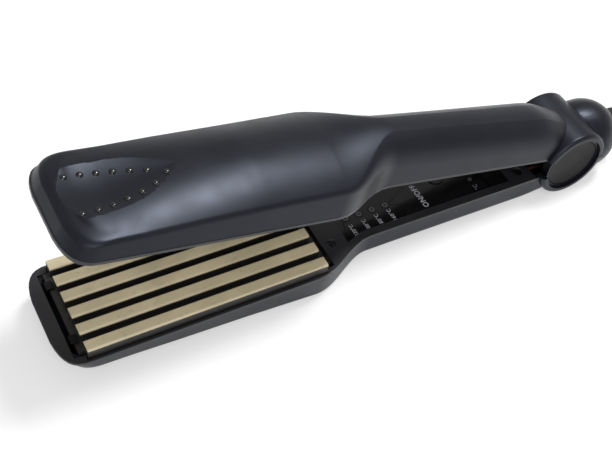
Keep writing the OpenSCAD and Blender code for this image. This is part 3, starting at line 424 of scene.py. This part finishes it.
def lower_casing():
    """Lower casing: the outside without its rooms, and with the hinge discs left standing."""
    # The tail's upper half is open, apart from the collar of the cord gland
    opening = block("opening", (-0.01, -FAR, -FAR), (FAR, FAR, FAR))
    above = move(block("above", (-FAR, -FAR, RIM - RUN), (FAR, FAR, FAR)), Matrix.Rotation(OPEN, 4, "Y"))
    combine(opening, [above], "INTERSECT")
    collar = lathe("collar", [(0, COLLAR_START), (COLLAR_R, COLLAR_START), (COLLAR_R, FAR), (0, FAR)], "X")
    combine(opening, [collar], "DIFFERENCE")
    move(opening, Matrix.Diagonal((1.0, 1.0, -1.0, 1.0)))
    arm_room, *others = rooms("lower", LOWER_FORM, 0.0)
    combine(arm_room, others + [block("cut_lip", (-FAR, -FAR, -FAR), (COVER_END_X, FAR, RIM + LIP)),
                                block("cut_rim", (COVER_END_X - 0.01, -FAR, -FAR), (0.0, FAR, RIM)), opening], "UNION")
    # The hinge discs stay
    combine(arm_room, [cross_disc("disc", DISC_R, *sorted((side * DISC_IN, side * DISC_FACE))) for side in (-1, 1)],
            "DIFFERENCE")
    tools = [arm_room, cross_disc("pin_hole", PIN_HOLE_R, -PAST, PAST, 48),
             lathe("neck_hole", [(0, TAIL_CENTRE), (NECK_HOLE_R, TAIL_CENTRE), (NECK_HOLE_R, FAR), (0, FAR)], "X", 64)]
    for side in (-1, 1):
        face = DISC_FACE - DISC_STEP
        tools += [cross_disc("cut", DISC_R + RUN, *sorted((side * DISC_FACE, side * PAST)), phase=0.6),
                  cross_disc("seat", CAP_R + GAP, *sorted((side * (DISC_FACE - CAP_SEAT), side * PAST)), phase=0.1),
                  lathe("groove", [(DISC_R, side * face), (DISC_R + RUN, side * face), (DISC_R + RUN, side * 40),
                                   (DISC_R, side * 40)], "Y", 128, closed=True, phase=0.25)]
    obj = combine(outside("lower_casing", LOWER_FORM, 0.0), tools, "DIFFERENCE")
    move(obj, LOWER)
    return finish_mesh(obj)


face_tree = []


def face_height(x, y):
    """Height of the upper arm's outside face, found from above on its uncut mesh."""
    spot = face_tree[0].ray_cast(Vector((max(x, FACE_START + FACE_INSIDE), y, 90.0)) * MM, Vector((0, 0, -1)))[0]
    return spot.z / MM


def recess_height(x, y):
    """Height of the thumb recess's floor: open at the nose, and narrower and shallower towards its far point."""
    along = max(0.0, x - FACE_START) / BOWL_LEN
    share = 1 - along ** BOWL_POWER
    across = (y - BOWL_SHIFT - BOWL_LEAN * along ** 2) / BOWL_HALF
    return face_height(x, y) - BOWL_DEPTH * max(-4.0, share - across ** 2 / max(share, BOWL_FADE))


def recess_tool(below=0.0):
    """Everything over the recess's floor, or over a level below it."""
    xs = np.linspace(FACE_START - BOWL_AHEAD, FACE_START + BOWL_LEN + BOWL_MARGIN, 72)
    ys = np.linspace(-BOWL_HALF - BOWL_MARGIN, BOWL_HALF + BOWL_MARGIN, 61)
    verts = [(x, y, recess_height(x, y) - below) for x in xs for y in ys]
    n, rows = len(ys), len(xs)
    faces = [(i * n + j, i * n + j + 1, (i + 1) * n + j + 1, (i + 1) * n + j)
             for i in range(rows - 1) for j in range(n - 1)]
    edge = list(range(n)) + [i * n + n - 1 for i in range(1, rows)]
    edge += [(rows - 1) * n + j for j in range(n - 2, -1, -1)] + [i * n for i in range(rows - 2, 0, -1)]
    base = len(verts)
    verts += [(verts[k][0], verts[k][1], PAST) for k in edge]
    m = len(edge)
    faces += [(edge[k], edge[(k + 1) % m], base + (k + 1) % m, base + k) for k in range(m)]
    faces.append(tuple(range(base, base + m)))
    return mesh_object("recess_tool", verts, faces)


def upper_casing():
    """Upper casing: the outside without its rooms, the thumb recess and the discs' places."""
    behind = block("behind", (0, -FAR / 2, -FAR / 2), (FAR, FAR / 2, FAR / 2))
    move(behind, Matrix.Rotation(-CUT_ANGLE, 4, "Y") @ Matrix.Translation((CUT_R, 0, 0)))
    obj = outside("upper_casing", UPPER_FORM, -OPEN, steps=(24, 22, 30, 20), crown_steps=22)
    face_tree.append(BVHTree.FromObject(obj, bpy.context.evaluated_depsgraph_get()))
    arm_room, *others = rooms("upper", UPPER_FORM, -OPEN)
    # The wall stays whole under the recess
    combine(arm_room, [recess_tool(BOWL_WALL)], "DIFFERENCE")
    combine(obj, [arm_room] + others + [
        block("cut_lip", (-FAR, -FAR, -FAR), (COVER_END_X, FAR, RIM + LIP)),
        block("cut_rim", (COVER_END_X - 0.01, -FAR, -FAR), (FAR, FAR, RIM)), behind, recess_tool()] + [
        cross_disc("disc_room", DISC_R + RUN, *sorted((side * (DISC_IN - RUN), side * PAST))) for side in (-1, 1)],
        "DIFFERENCE")
    move(obj, UPPER)
    return finish_mesh(obj)


casings = {"lower_shell": (lower_casing(), "lower_arm"), "upper_shell": (upper_casing(), "upper_arm")}
for node, (obj, body) in casings.items():
    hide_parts(node)
    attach(obj, body)


# ---------------------------------------------------------------- studs
def stud_places():
    """Middle of each CAD stud, in the upper arm's frame."""
    mesh = frame["nodes"]["grip_studs"].data
    bm = bmesh.new()
    bm.from_mesh(mesh)
    bmesh.ops.remove_doubles(bm, verts=bm.verts, dist=1e-6)
    left, places = set(bm.verts), []
    back = UPPER.inverted()
    while left:
        group, grow = set(), [next(iter(left))]
        while grow:
            v = grow.pop()
            if v in left:
                left.discard(v)
                group.add(v)
                grow += [e.other_vert(v) for e in v.link_edges]
        middle = sum((v.co for v in group), Vector()) / len(group)
        places.append(back @ (middle / MM))
    bm.free()
    return places


def studs():
    """Domed studs with a fine foot ring, square to the recess."""
    r, rise = 1.22, 0.72
    profile = [(0.0, -0.9), (r + 0.1, -0.9), (r + 0.1, 0.02), (r + 0.02, 0.08), (r - 0.04, 0.02)]
    profile += [((r - 0.06) * math.cos(a), 0.05 + rise * math.sin(a)) for a in np.linspace(0.1, math.pi / 2, 9)]
    profile[-1] = (0.0, profile[-1][1])
    whole = None
    for place in stud_places():
        x, y = place.x, place.y
        slope_x = (recess_height(x + 0.1, y) - recess_height(x - 0.1, y)) / 0.2
        slope_y = (recess_height(x, y + 0.1) - recess_height(x, y - 0.1)) / 0.2
        normal = Vector((-slope_x, -slope_y, 1.0)).normalized()
        stud = lathe("stud", profile, "Z", 32)
        turn = normal.to_track_quat("Z", "Y").to_matrix().to_4x4()
        move(stud, Matrix.Translation((x, y, recess_height(x, y))) @ turn)
        if whole is None:
            whole = stud
            whole.name = whole.data.name = "grip_dome_studs"
            continue
        bm = bmesh.new()
        bm.from_mesh(whole.data)
        bm.from_mesh(stud.data)
        bm.to_mesh(whole.data)
        bm.free()
        bpy.data.objects.remove(stud)
    move(whole, UPPER)
    return finish_mesh(whole, 40)


grip = studs()
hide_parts("grip_studs")
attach(grip, "upper_arm")


# ---------------------------------------------------------------- hinge discs
def hinge_dish(side):
    """Dished round cover of the hinge, with a fine rim."""
    face, back = DISC_FACE - 0.06, DISC_FACE - 1.05
    rim = CAP_R - 0.02
    profile = [(0.0, back), (rim, back), (rim, face - 0.22)]
    profile += [(rim - 0.18 * (1 - math.cos(a)), face - 0.22 + 0.18 * math.sin(a))
                for a in np.linspace(0.2, math.pi / 2, 5)]
    profile += [(rim - 0.6, face - 0.04), (rim - 1.1, face - 0.05), (rim - 1.35, face - 0.16)]
    inner = rim - 1.6
    profile += [(inner * t, face - 0.18 - 0.42 * (1 - t ** 2.2)) for t in np.linspace(1.0, 0.0, 16)]
    profile[-1] = (0.0, profile[-1][1])
    obj = lathe("hinge_dish_near" if side < 0 else "hinge_dish_far", [(r, side * y) for r, y in profile], "Y", 128)
    move(obj, PLACE)
    return finish_mesh(obj, 28)


dishes = [hinge_dish(side) for side in (-1, 1)]
for dish in dishes:
    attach(dish, "lower_arm")
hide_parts("hinge_caps")


# ---------------------------------------------------------------- print on the label panel
PRINT_T = 0.03
PRINT_RISE = 0.05
PRINT_Z = HINGE.z - PANEL_Z
PANEL_START = -WAIST_X - 19.4
PANEL_END = 30.0
FIRST_LIGHT = 5.8
LIGHT_PITCH = 6.4
POWER_X = -mix(PANEL_END, PANEL_START, 0.36)
TEMP_X = -mix(PANEL_END, PANEL_START, 0.19)
BUTTON_Y = 4.9
ROW_LEN = 6.4
# Words of each row, and the place of their near end across the arm
ROWS = (("220", -10.1), ("200", -9.7), ("180", -9.2), ("160", -8.8))
DEGREES = "\u00b0C"


def print_text(name, words, x, y, length, thick=0.012):
    """Words that run across the arm with their tops towards the head; x and y give their middle."""
    curve = bpy.data.curves.new(name, "FONT")
    curve.body = words
    curve.size = 1.0
    curve.offset = thick
    curve.resolution_u = 3
    curve.space_character = 1.06
    temp = bpy.data.objects.new(name + "_line", curve)
    bpy.context.scene.collection.objects.link(temp)
    flat = bpy.data.meshes.new_from_object(temp.evaluated_get(bpy.context.evaluated_depsgraph_get()))
    bpy.data.objects.remove(temp)
    points = np.array([v.co[:] for v in flat.vertices])
    low, high = points.min(0), points.max(0)
    scale = length / (high[0] - low[0])
    bm = bmesh.new()
    bm.from_mesh(flat)
    bmesh.ops.remove_doubles(bm, verts=bm.verts, dist=1e-5)
    grown = bmesh.ops.extrude_face_region(bm, geom=bm.faces[:])["geom"]
    for v in grown:
        if isinstance(v, bmesh.types.BMVert):
            v.co.z = -PRINT_T / scale
    bmesh.ops.recalc_face_normals(bm, faces=bm.faces)
    bm.to_mesh(flat)
    bm.free()
    obj = bpy.data.objects.new(name, flat)
    bpy.context.scene.collection.objects.link(obj)
    middle = (low + high) / 2
    flat.transform(Matrix.Scale(scale * MM, 4) @ Matrix.Translation((-middle[0], -middle[1], 0)))
    flat.transform(Matrix.Translation(Vector((HINGE.x + x, y, PRINT_Z + PRINT_T)) * MM)
                   @ Matrix.Rotation(math.pi / 2, 4, "Z"))
    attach(obj, "lower_arm")
    return obj


def print_ring(name, r_in, r_out, x, y, z):
    """Flat ring with broken edges."""
    side = PRINT_RISE * 0.7
    profile = [(r_in, 0), (r_in, side), (mix(r_in, r_out, 0.3), PRINT_RISE), (mix(r_in, r_out, 0.7), PRINT_RISE),
               (r_out, side), (r_out, 0)]
    obj = lathe(name, profile, "Z", 48, closed=True)
    move(obj, Matrix.Translation((HINGE.x + x, y, z)))
    finish_mesh(obj, 40)
    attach(obj, "lower_arm")
    return obj


printed, faint = [], []
for i, (words, near) in enumerate(ROWS):
    x = -(PANEL_START - FIRST_LIGHT) + LIGHT_PITCH * i
    printed.append(print_text(f"print_{words}", words + DEGREES, x, near + ROW_LEN / 2, ROW_LEN))
    faint.append(print_ring(f"light_ring_{words}", 0.85, 1.15, x, 0.0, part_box("led_lenses")[1].z / MM))
printed.append(print_text("print_on_off", "ON/OFF", -72.0, -1.2, 13.4, 0.02))
faint.append(print_text("print_degrees", DEGREES, TEMP_X, -6.4, 2.9))
faint.append(print_ring("print_dot", 0.5, 0.85, TEMP_X, -1.6, PRINT_Z))


def power_sign():
    """Open ring with a bar, on top of the power button."""
    verts, faces = [], []
    steps, r_in, r_out = 28, 1.25, 1.6
    for k in range(steps + 1):
        a = math.radians(mix(40, 320, k / steps))
        for r in (r_in, r_out):
            for z in (0.0, PRINT_RISE):
                verts.append((-r * math.cos(a), r * math.sin(a), z))
    for k in range(steps):
        a, b = 4 * k, 4 * k + 4
        faces += [(a, b, b + 1, a + 1), (a + 2, a + 3, b + 3, b + 2),
                  (a + 1, b + 1, b + 3, a + 3), (a, a + 2, b + 2, b)]
    faces += [(0, 1, 3, 2), (4 * steps, 4 * steps + 2, 4 * steps + 3, 4 * steps + 1)]
    n = len(verts)
    verts += [(x, y, z) for x in (-1.9, -0.5) for y in (-0.17, 0.17) for z in (0.0, PRINT_RISE)]
    faces += [tuple(n + i for i in face) for face in BOX_FACES]
    obj = mesh_object("power_sign", verts, faces)
    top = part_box("power_button")[1].z / MM
    move(obj, Matrix.Translation((HINGE.x + POWER_X, BUTTON_Y, top)))
    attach(obj, "power_button")
    return obj


faint.append(power_sign())


# ---------------------------------------------------------------- materials
def srgb(r, g, b):
    """Linear colour of an 8-bit one."""
    def line(c):
        c /= 255
        return c / 12.92 if c <= 0.04045 else ((c + 0.055) / 1.055) ** 2.4
    return (line(r), line(g), line(b), 1.0)


class Shade:
    """A Principled material with helpers for its texture nodes."""

    def __init__(self, name, colour, rough, metal=0.0, spec=0.5, coat=0.0, tint=(1.0, 1.0, 1.0)):
        self.mat = bpy.data.materials.new(name)
        self.mat.use_nodes = True
        self.tree = self.mat.node_tree
        self.shader = self.tree.nodes["Principled BSDF"]
        self.set("Base Color", colour)
        self.set("Roughness", rough)
        self.set("Metallic", metal)
        self.set("Specular IOR Level", spec)
        self.set("Specular Tint", tint + (1.0,))
        self.set("Coat Weight", coat)
        self.set("Coat Roughness", 0.1)
        self.coord = self.tree.nodes.new("ShaderNodeTexCoord")

    def set(self, socket, value):
        self.shader.inputs[socket].default_value = value

    def link(self, a, b):
        self.tree.links.new(a, b)

    def place(self, scale):
        """The object's own coordinates, scaled along each axis."""
        node = self.tree.nodes.new("ShaderNodeMapping")
        node.inputs["Scale"].default_value = scale
        self.link(self.coord.outputs["Object"], node.inputs["Vector"])
        return node.outputs["Vector"]

    def noise(self, size, detail=2.0, vector=None):
        """Noise whose blobs are about size millimetres across."""
        node = self.tree.nodes.new("ShaderNodeTexNoise")
        node.inputs["Scale"].default_value = 1.0 / (size * MM)
        node.inputs["Detail"].default_value = detail
        self.link(vector or self.coord.outputs["Object"], node.inputs["Vector"])
        return node.outputs["Fac"]

    def span(self, value, low, high, out_low=0.0, out_high=1.0):
        node = self.tree.nodes.new("ShaderNodeMapRange")
        for key, number in (("From Min", low), ("From Max", high), ("To Min", out_low), ("To Max", out_high)):
            node.inputs[key].default_value = number
        self.link(value, node.inputs["Value"])
        return node.outputs["Result"]

    def maths(self, operation, a, b):
        node = self.tree.nodes.new("ShaderNodeMath")
        node.operation = operation
        for socket, value in zip(node.inputs, (a, b)):
            if isinstance(value, (int, float)):
                socket.default_value = value
            else:
                self.link(value, socket)
        return node.outputs[0]

    def blend(self, share, a, b):
        """Colour between a and b, which are colours or outputs."""
        node = self.tree.nodes.new("ShaderNodeMix")
        node.data_type = "RGBA"
        self.link(share, node.inputs[0])
        for socket, value in ((node.inputs[6], a), (node.inputs[7], b)):
            if isinstance(value, tuple):
                socket.default_value = value
            else:
                self.link(value, socket)
        return node.outputs[2]

    def paint(self, output):
        self.link(output, self.shader.inputs["Base Color"])

    def bump(self, *layers):
        """Layers of (height output, depth in millimetres)."""
        normal = None
        for height, depth in layers:
            node = self.tree.nodes.new("ShaderNodeBump")
            node.inputs["Strength"].default_value = 1.0
            node.inputs["Distance"].default_value = depth * MM
            self.link(height, node.inputs["Height"])
            if normal is not None:
                self.link(normal, node.inputs["Normal"])
            normal = node.outputs["Normal"]
        self.link(normal, self.shader.inputs["Normal"])

    def dot(self, output, direction):
        node = self.tree.nodes.new("ShaderNodeVectorMath")
        node.operation = "DOT_PRODUCT"
        self.link(output, node.inputs[0])
        node.inputs[1].default_value = direction
        return node.outputs["Value"]

    def edge(self, low, high):
        """1 on convex edges, 0 on flat places."""
        node = self.tree.nodes.new("ShaderNodeNewGeometry")
        return self.span(node.outputs["Pointiness"], low, high)


def scaled(colour, factor):
    return tuple(min(1.0, c * factor) for c in colour[:3]) + (1.0,)


def moulded(name, colour, rough, tone=0.1, vary=0.06, grain=0.35, depth=0.006, cloud=18.0, wear=0.25, **more):
    """Moulded plastic or paint: fine grain, soft clouds of tone, gloss that varies, and rubbed edges."""
    m = Shade(name, colour, rough, **more)
    clouds = m.span(m.noise(cloud, 3.0), 0.35, 0.65)
    tones = m.blend(clouds, scaled(colour, 1 - tone), scaled(colour, 1 + tone))
    specks = m.span(m.noise(0.8, 2.0), 0.62, 0.78, 0.0, 0.35)
    tones = m.blend(specks, tones, scaled(colour, 1 + 2.5 * tone))
    if wear:
        rubbed = m.maths("MULTIPLY", m.edge(0.53, 0.6), m.span(m.noise(3.0, 4.0), 0.4, 0.7, 0.0, wear))
        tones = m.blend(rubbed, tones, scaled(colour, 2.2))
    m.paint(tones)
    m.link(m.span(m.noise(cloud * 0.6, 4.0), 0.3, 0.7, rough - vary, rough + vary), m.shader.inputs["Roughness"])
    m.bump((m.noise(grain, 2.0), depth), (m.noise(9.0, 2.0), depth * 1.5))
    return m.mat


def metallic(name, colour, rough, lines=(1.0, 1.0, 1.0), line=0.25, depth=0.004, tone=0.12, **more):
    """Bare metal, with fine lines along one direction where it is brushed or turned, and dull patches."""
    m = Shade(name, colour, rough, metal=1.0, **more)
    scratch = m.noise(line, 3.0, m.place(lines))
    tones = m.blend(m.span(scratch, 0.35, 0.65), scaled(colour, 1 - tone), scaled(colour, 1 + tone))
    dull = m.span(m.noise(6.0, 4.0), 0.45, 0.75, 0.0, 0.4)
    m.paint(m.blend(dull, tones, scaled(colour, 0.7)))
    m.link(m.span(m.noise(4.0, 4.0), 0.3, 0.7, rough * 0.75, rough * 1.3), m.shader.inputs["Roughness"])
    m.bump((scratch, depth))
    return m.mat


def ribbed_plate(name, normal, top):
    """Coated crimp plate: champagne rib tops, with painted shade on the walls and in the grooves. top is the tops'
    height along the normal.
    """
    gold = srgb(203, 190, 157)
    # Colour of the painted shade on the walls and in the grooves, where the ribs shade each other
    groove_shade = srgb(26, 24, 22)
    m = Shade(name, gold, 0.42, spec=0.6)
    height = m.dot(m.coord.outputs["Object"], normal)
    brushed = m.noise(0.22, 3.0, m.place((0.05, 1.0, 1.0)))
    cloud = m.span(m.noise(14.0, 4.0), 0.35, 0.68)
    tones = m.blend(cloud, scaled(gold, 0.86), scaled(gold, 1.12))
    tones = m.blend(m.span(brushed, 0.3, 0.7, 0.0, 0.5), tones, scaled(gold, 1.15))
    stain = m.span(m.noise(2.2, 6.0), 0.58, 0.75, 0.0, 0.35)
    tones = m.blend(stain, tones, scaled(gold, 0.55))
    ragged = m.span(m.noise(0.5, 3.0), 0.3, 0.7, -0.12 * MM, 0.12 * MM)
    level = m.maths("ADD", height, ragged)
    # Gold on the rib tops only; below them the walls and grooves get the painted shade
    coat = m.span(level, (top - 1.15) * MM, (top - 0.75) * MM)
    m.paint(m.blend(coat, groove_shade, tones))
    facing = m.dot(m.coord.outputs["Normal"], normal)
    shine = m.span(m.noise(5.0, 4.0), 0.3, 0.7, 0.34, 0.5)
    m.link(m.maths("ADD", shine, m.span(facing, 0.2, 0.9, 0.1, 0.0)), m.shader.inputs["Roughness"])
    m.bump((brushed, 0.004), (m.noise(0.6, 2.0), 0.004))
    return m.mat


UP = Vector((0.0, 0.0, 1.0))
RIB_TOP = 4.8
lower_top = HINGE.z - RIM + RIB_TOP
jaw_down = Matrix.Rotation(OPEN, 3, "Y") @ Vector((0.0, 0.0, -1.0))
upper_top = HINGE.dot(jaw_down) - RIM + RIB_TOP

SHELL = srgb(20, 20, 24)
looks = {
    "casing": moulded("casing_satin", SHELL, 0.37, tone=0.09, vary=0.04,
                      spec=0.32, tint=(0.72, 0.8, 1.0), grain=0.3, depth=0.005, wear=0.12),
    "dish": moulded("dish_matt", srgb(13, 13, 16), 0.46, tone=0.1, spec=0.16, grain=0.3, depth=0.005, wear=0.0),
    "inner_black": moulded("inner_gloss", srgb(36, 36, 39), 0.34, tone=0.1, spec=0.45, grain=0.7, depth=0.002),
    "panel": moulded("panel_gloss", srgb(12, 12, 14), 0.16, tone=0.1, spec=0.45, grain=1.2, depth=0.001, wear=0.0),
    "holder": moulded("holder_black", srgb(46, 45, 46), 0.62, tone=0.15, spec=0.3, grain=0.2, depth=0.012),
    "sheet_steel": metallic("sheet_steel", srgb(176, 176, 174), 0.34, (0.08, 1.0, 1.0), 0.2),
    "mica": moulded("mica_sheet", srgb(206, 190, 148), 0.5, tone=0.2, cloud=5.0, grain=0.6, depth=0.01),
    "heater_body": metallic("heater_foil", srgb(206, 206, 208), 0.4, (1.0, 1.0, 1.0), 0.8, depth=0.02),
    "screw_steel": metallic("screw_steel", srgb(92, 92, 96), 0.36, (1.0, 1.0, 0.2), 0.15),
    "sensor_bead": moulded("sensor_glass", srgb(196, 110, 40), 0.3, coat=0.5),
    "board": moulded("board_green", srgb(28, 96, 60), 0.4, tone=0.2, cloud=6.0, grain=0.5, depth=0.008),
    "chip_black": moulded("chip_epoxy", srgb(30, 30, 31), 0.6, grain=0.12, depth=0.01),
    "capacitor_film": moulded("film_yellow", srgb(214, 160, 40), 0.35, tone=0.08, coat=0.3),
    "capacitor_sleeve": moulded("sleeve_blue", srgb(28, 40, 96), 0.35, tone=0.1),
    "led_body": moulded("led_red", srgb(180, 36, 28), 0.2, tone=0.1, coat=0.5),
    "lens": moulded("lens_smoked", srgb(34, 34, 38), 0.2, tone=0.1, grain=0.6, depth=0.002, wear=0.0),
    "wire": moulded("wire_red", srgb(176, 36, 28), 0.5, tone=0.1, grain=0.5, depth=0.01),
    "wire_supply": moulded("wire_brown", srgb(92, 58, 40), 0.5, tone=0.1, grain=0.5, depth=0.01),
    "terminal_white": moulded("terminal_nylon", srgb(224, 222, 214), 0.45, tone=0.05),
    "contact_brass": metallic("contact_brass", srgb(206, 170, 92), 0.28, (1.0, 0.1, 1.0), 0.2),
    "pin_steel": metallic("pin_steel", srgb(190, 190, 194), 0.24, (1.0, 0.1, 1.0), 0.2),
    "spring_steel": metallic("spring_steel", srgb(120, 120, 124), 0.3, (1.0, 1.0, 1.0), 0.3),
    "stud_black": moulded("stud_gloss", srgb(16, 16, 19), 0.13, tone=0.1, spec=0.7, grain=0.5, depth=0.001, wear=0.0),
    "bush_bronze": metallic("bush_bronze", srgb(176, 134, 78), 0.4, (1.0, 1.0, 1.0), 0.3),
    "button": moulded("button_gloss", srgb(26, 26, 29), 0.22, tone=0.1, grain=0.6, depth=0.002),
    "gland": moulded("gland_rubber", srgb(27, 27, 29), 0.55, tone=0.12, spec=0.35, grain=0.3, depth=0.012),
}
plates = {
    "lower_crimp_plate": ribbed_plate("plate_lower", UP, lower_top),
    "upper_crimp_plate": ribbed_plate("plate_upper", jaw_down, upper_top),
}
blackened = metallic("blackened_steel", srgb(44, 44, 46), 0.45, (0.08, 1.0, 1.0), 0.2)
own = dict(plates, lower_plate_clips=blackened, upper_plate_clips=blackened)
ink = moulded("print_ink", srgb(172, 172, 178), 0.5, tone=0.12, cloud=2.0, grain=0.15, depth=0.004, wear=0.0)
faint_ink = moulded("faint_ink", srgb(96, 96, 100), 0.5, tone=0.12, cloud=2.0, grain=0.15, depth=0.004, wear=0.0)


def dress(obj, mat):
    obj.data.materials.clear()
    obj.data.materials.append(mat)


def soften(obj, width):
    """Small rounded edges on a CAD piece, by modifiers."""
    weld = obj.modifiers.new("weld", "WELD")
    weld.merge_threshold = 1e-6
    bevel = obj.modifiers.new("edges", "BEVEL")
    bevel.width = width * MM
    bevel.segments = 2
    bevel.limit_method = "ANGLE"
    bevel.angle_limit = math.radians(35)
    bevel.use_clamp_overlap = True
    bevel.harden_normals = True


EDGES = {"lower_crimp_plate": 0.28, "upper_crimp_plate": 0.28, "label_panel": 0.2, "lower_inner_cover": 0.2,
         "upper_inner_cover": 0.2, "lower_plate_clips": 0.1, "upper_plate_clips": 0.1, "lower_plate_holder": 0.2,
         "upper_plate_holder": 0.2, "tail_cap": 0.15}
for node, width in EDGES.items():
    soften(frame["nodes"][node], width)
slots = {part["node"]: part["material_slot"] for part in frame["record"]["subparts"]}
for node, obj in frame["nodes"].items():
    dress(obj, own.get(node) or looks[slots[node]])
for obj, body in casings.values():
    dress(obj, looks["casing"])
for obj in dishes:
    dress(obj, looks["dish"])
dress(grip, looks["stud_black"])
for obj in printed:
    dress(obj, ink)
for obj in faint:
    dress(obj, faint_ink)


# ---------------------------------------------------------------- camera, light, floor
def camera():
    data = bpy.data.cameras.new("camera")
    data.sensor_width = 36.0
    data.lens = 59.76
    data.clip_start = 0.01
    data.clip_end = 20.0
    obj = bpy.data.objects.new("camera", data)
    right = Vector((0.87560, -0.47143, 0.10528))
    down = Vector((-0.30011, -0.70171, -0.64617))
    forward = Vector((0.37850, 0.53419, -0.75590))
    turn = Matrix((right, -down, -forward)).transposed().to_4x4()
    spot = Vector((-282.895, -221.292, 310.150)) + Vector((HINGE.x, 0, HINGE.z - RIM))
    obj.matrix_world = Matrix.Translation(spot * MM) @ turn
    bpy.context.scene.collection.objects.link(obj)
    bpy.context.scene.camera = obj


LAMP_AIM = Vector((-0.08, 0.0, 0.04))


def lamp(name, direction, distance, size, power):
    """Area lamp that looks at the part from a direction."""
    data = bpy.data.lights.new(name, "AREA")
    data.shape = "RECTANGLE"
    data.size, data.size_y = size
    data.energy = power
    obj = bpy.data.objects.new(name, data)
    away = Vector(direction).normalized()
    turn = away.to_track_quat("Z", "Y").to_matrix().to_4x4()
    obj.matrix_world = Matrix.Translation(LAMP_AIM + away * distance) @ turn
    bpy.context.scene.collection.objects.link(obj)


def seen_by_eye(tree):
    """1 for the camera and for what glossy and clear surfaces show."""
    path = tree.nodes.new("ShaderNodeLightPath")
    value = path.outputs["Is Camera Ray"]
    for other in ("Is Glossy Ray", "Is Transmission Ray"):
        node = tree.nodes.new("ShaderNodeMath")
        node.operation = "MAXIMUM"
        tree.links.new(value, node.inputs[0])
        tree.links.new(path.outputs[other], node.inputs[1])
        value = node.outputs[0]
    return value


def world():
    studio = bpy.data.worlds.new("studio")
    bpy.context.scene.world = studio
    studio.use_nodes = True
    back = studio.node_tree.nodes["Background"]
    back.inputs["Color"].default_value = (1, 1, 1, 1)
    back.inputs["Strength"].default_value = AMBIENT


def sweep():
    """Pale studio floor that curves up into a low wall all round."""
    profile = [(0.0, 0.0), (0.6, 0.0), (1.4, 0.0), (3.0, 0.0)]
    profile += [(3.0 + 0.8 * math.sin(a), 0.8 - 0.8 * math.cos(a)) for a in np.linspace(0.1, math.pi / 2, 10)]
    profile += [(3.8, WALL_TOP)]
    verts, faces, rings, steps = [], [], [], 96
    for r, z in profile:
        ring = []
        for k in range(1 if r == 0 else steps):
            a = 2 * math.pi * k / steps
            ring.append(len(verts))
            verts.append((r * math.cos(a), r * math.sin(a), z))
        rings.append(ring)
    for a, b in zip(rings, rings[1:]):
        for k in range(steps):
            m = (k + 1) % steps
            faces.append(tuple(dict.fromkeys((a[k % len(a)], b[k], b[m], a[m % len(a)]))))
    mesh = bpy.data.meshes.new("floor")
    mesh.from_pydata(verts, [], faces)
    for face in mesh.polygons:
        face.use_smooth = True
    obj = bpy.data.objects.new("floor", mesh)
    bpy.context.scene.collection.objects.link(obj)
    mat = bpy.data.materials.new("floor")
    mat.use_nodes = True
    tree = mat.node_tree
    tree.nodes.clear()
    out = tree.nodes.new("ShaderNodeOutputMaterial")
    matt = tree.nodes.new("ShaderNodeBsdfDiffuse")
    matt.inputs["Color"].default_value = (0.6, 0.6, 0.6, 1)
    glow = tree.nodes.new("ShaderNodeEmission")
    glow.inputs["Color"].default_value = (1, 1, 1, 1)
    lift = tree.nodes.new("ShaderNodeMath")
    lift.operation = "MULTIPLY"
    lift.inputs[1].default_value = FLOOR_LIFT
    tree.links.new(seen_by_eye(tree), lift.inputs[0])
    tree.links.new(lift.outputs[0], glow.inputs["Strength"])
    both = tree.nodes.new("ShaderNodeAddShader")
    tree.links.new(matt.outputs[0], both.inputs[0])
    tree.links.new(glow.outputs[0], both.inputs[1])
    tree.links.new(both.outputs[0], out.inputs["Surface"])
    mesh.materials.append(mat)


AMBIENT = 0.42
FLOOR_LIFT = 0.4
WALL_TOP = 1.0
camera()
lamp("key", (0.43, 0.13, 0.88), 1.3, (0.38, 0.42), 14.5)
lamp("fill", (-0.3, -0.7, 0.65), 2.0, (1.6, 1.6), 20.0)
world()
sweep()
bpy.context.scene.view_settings.view_transform = "Standard"
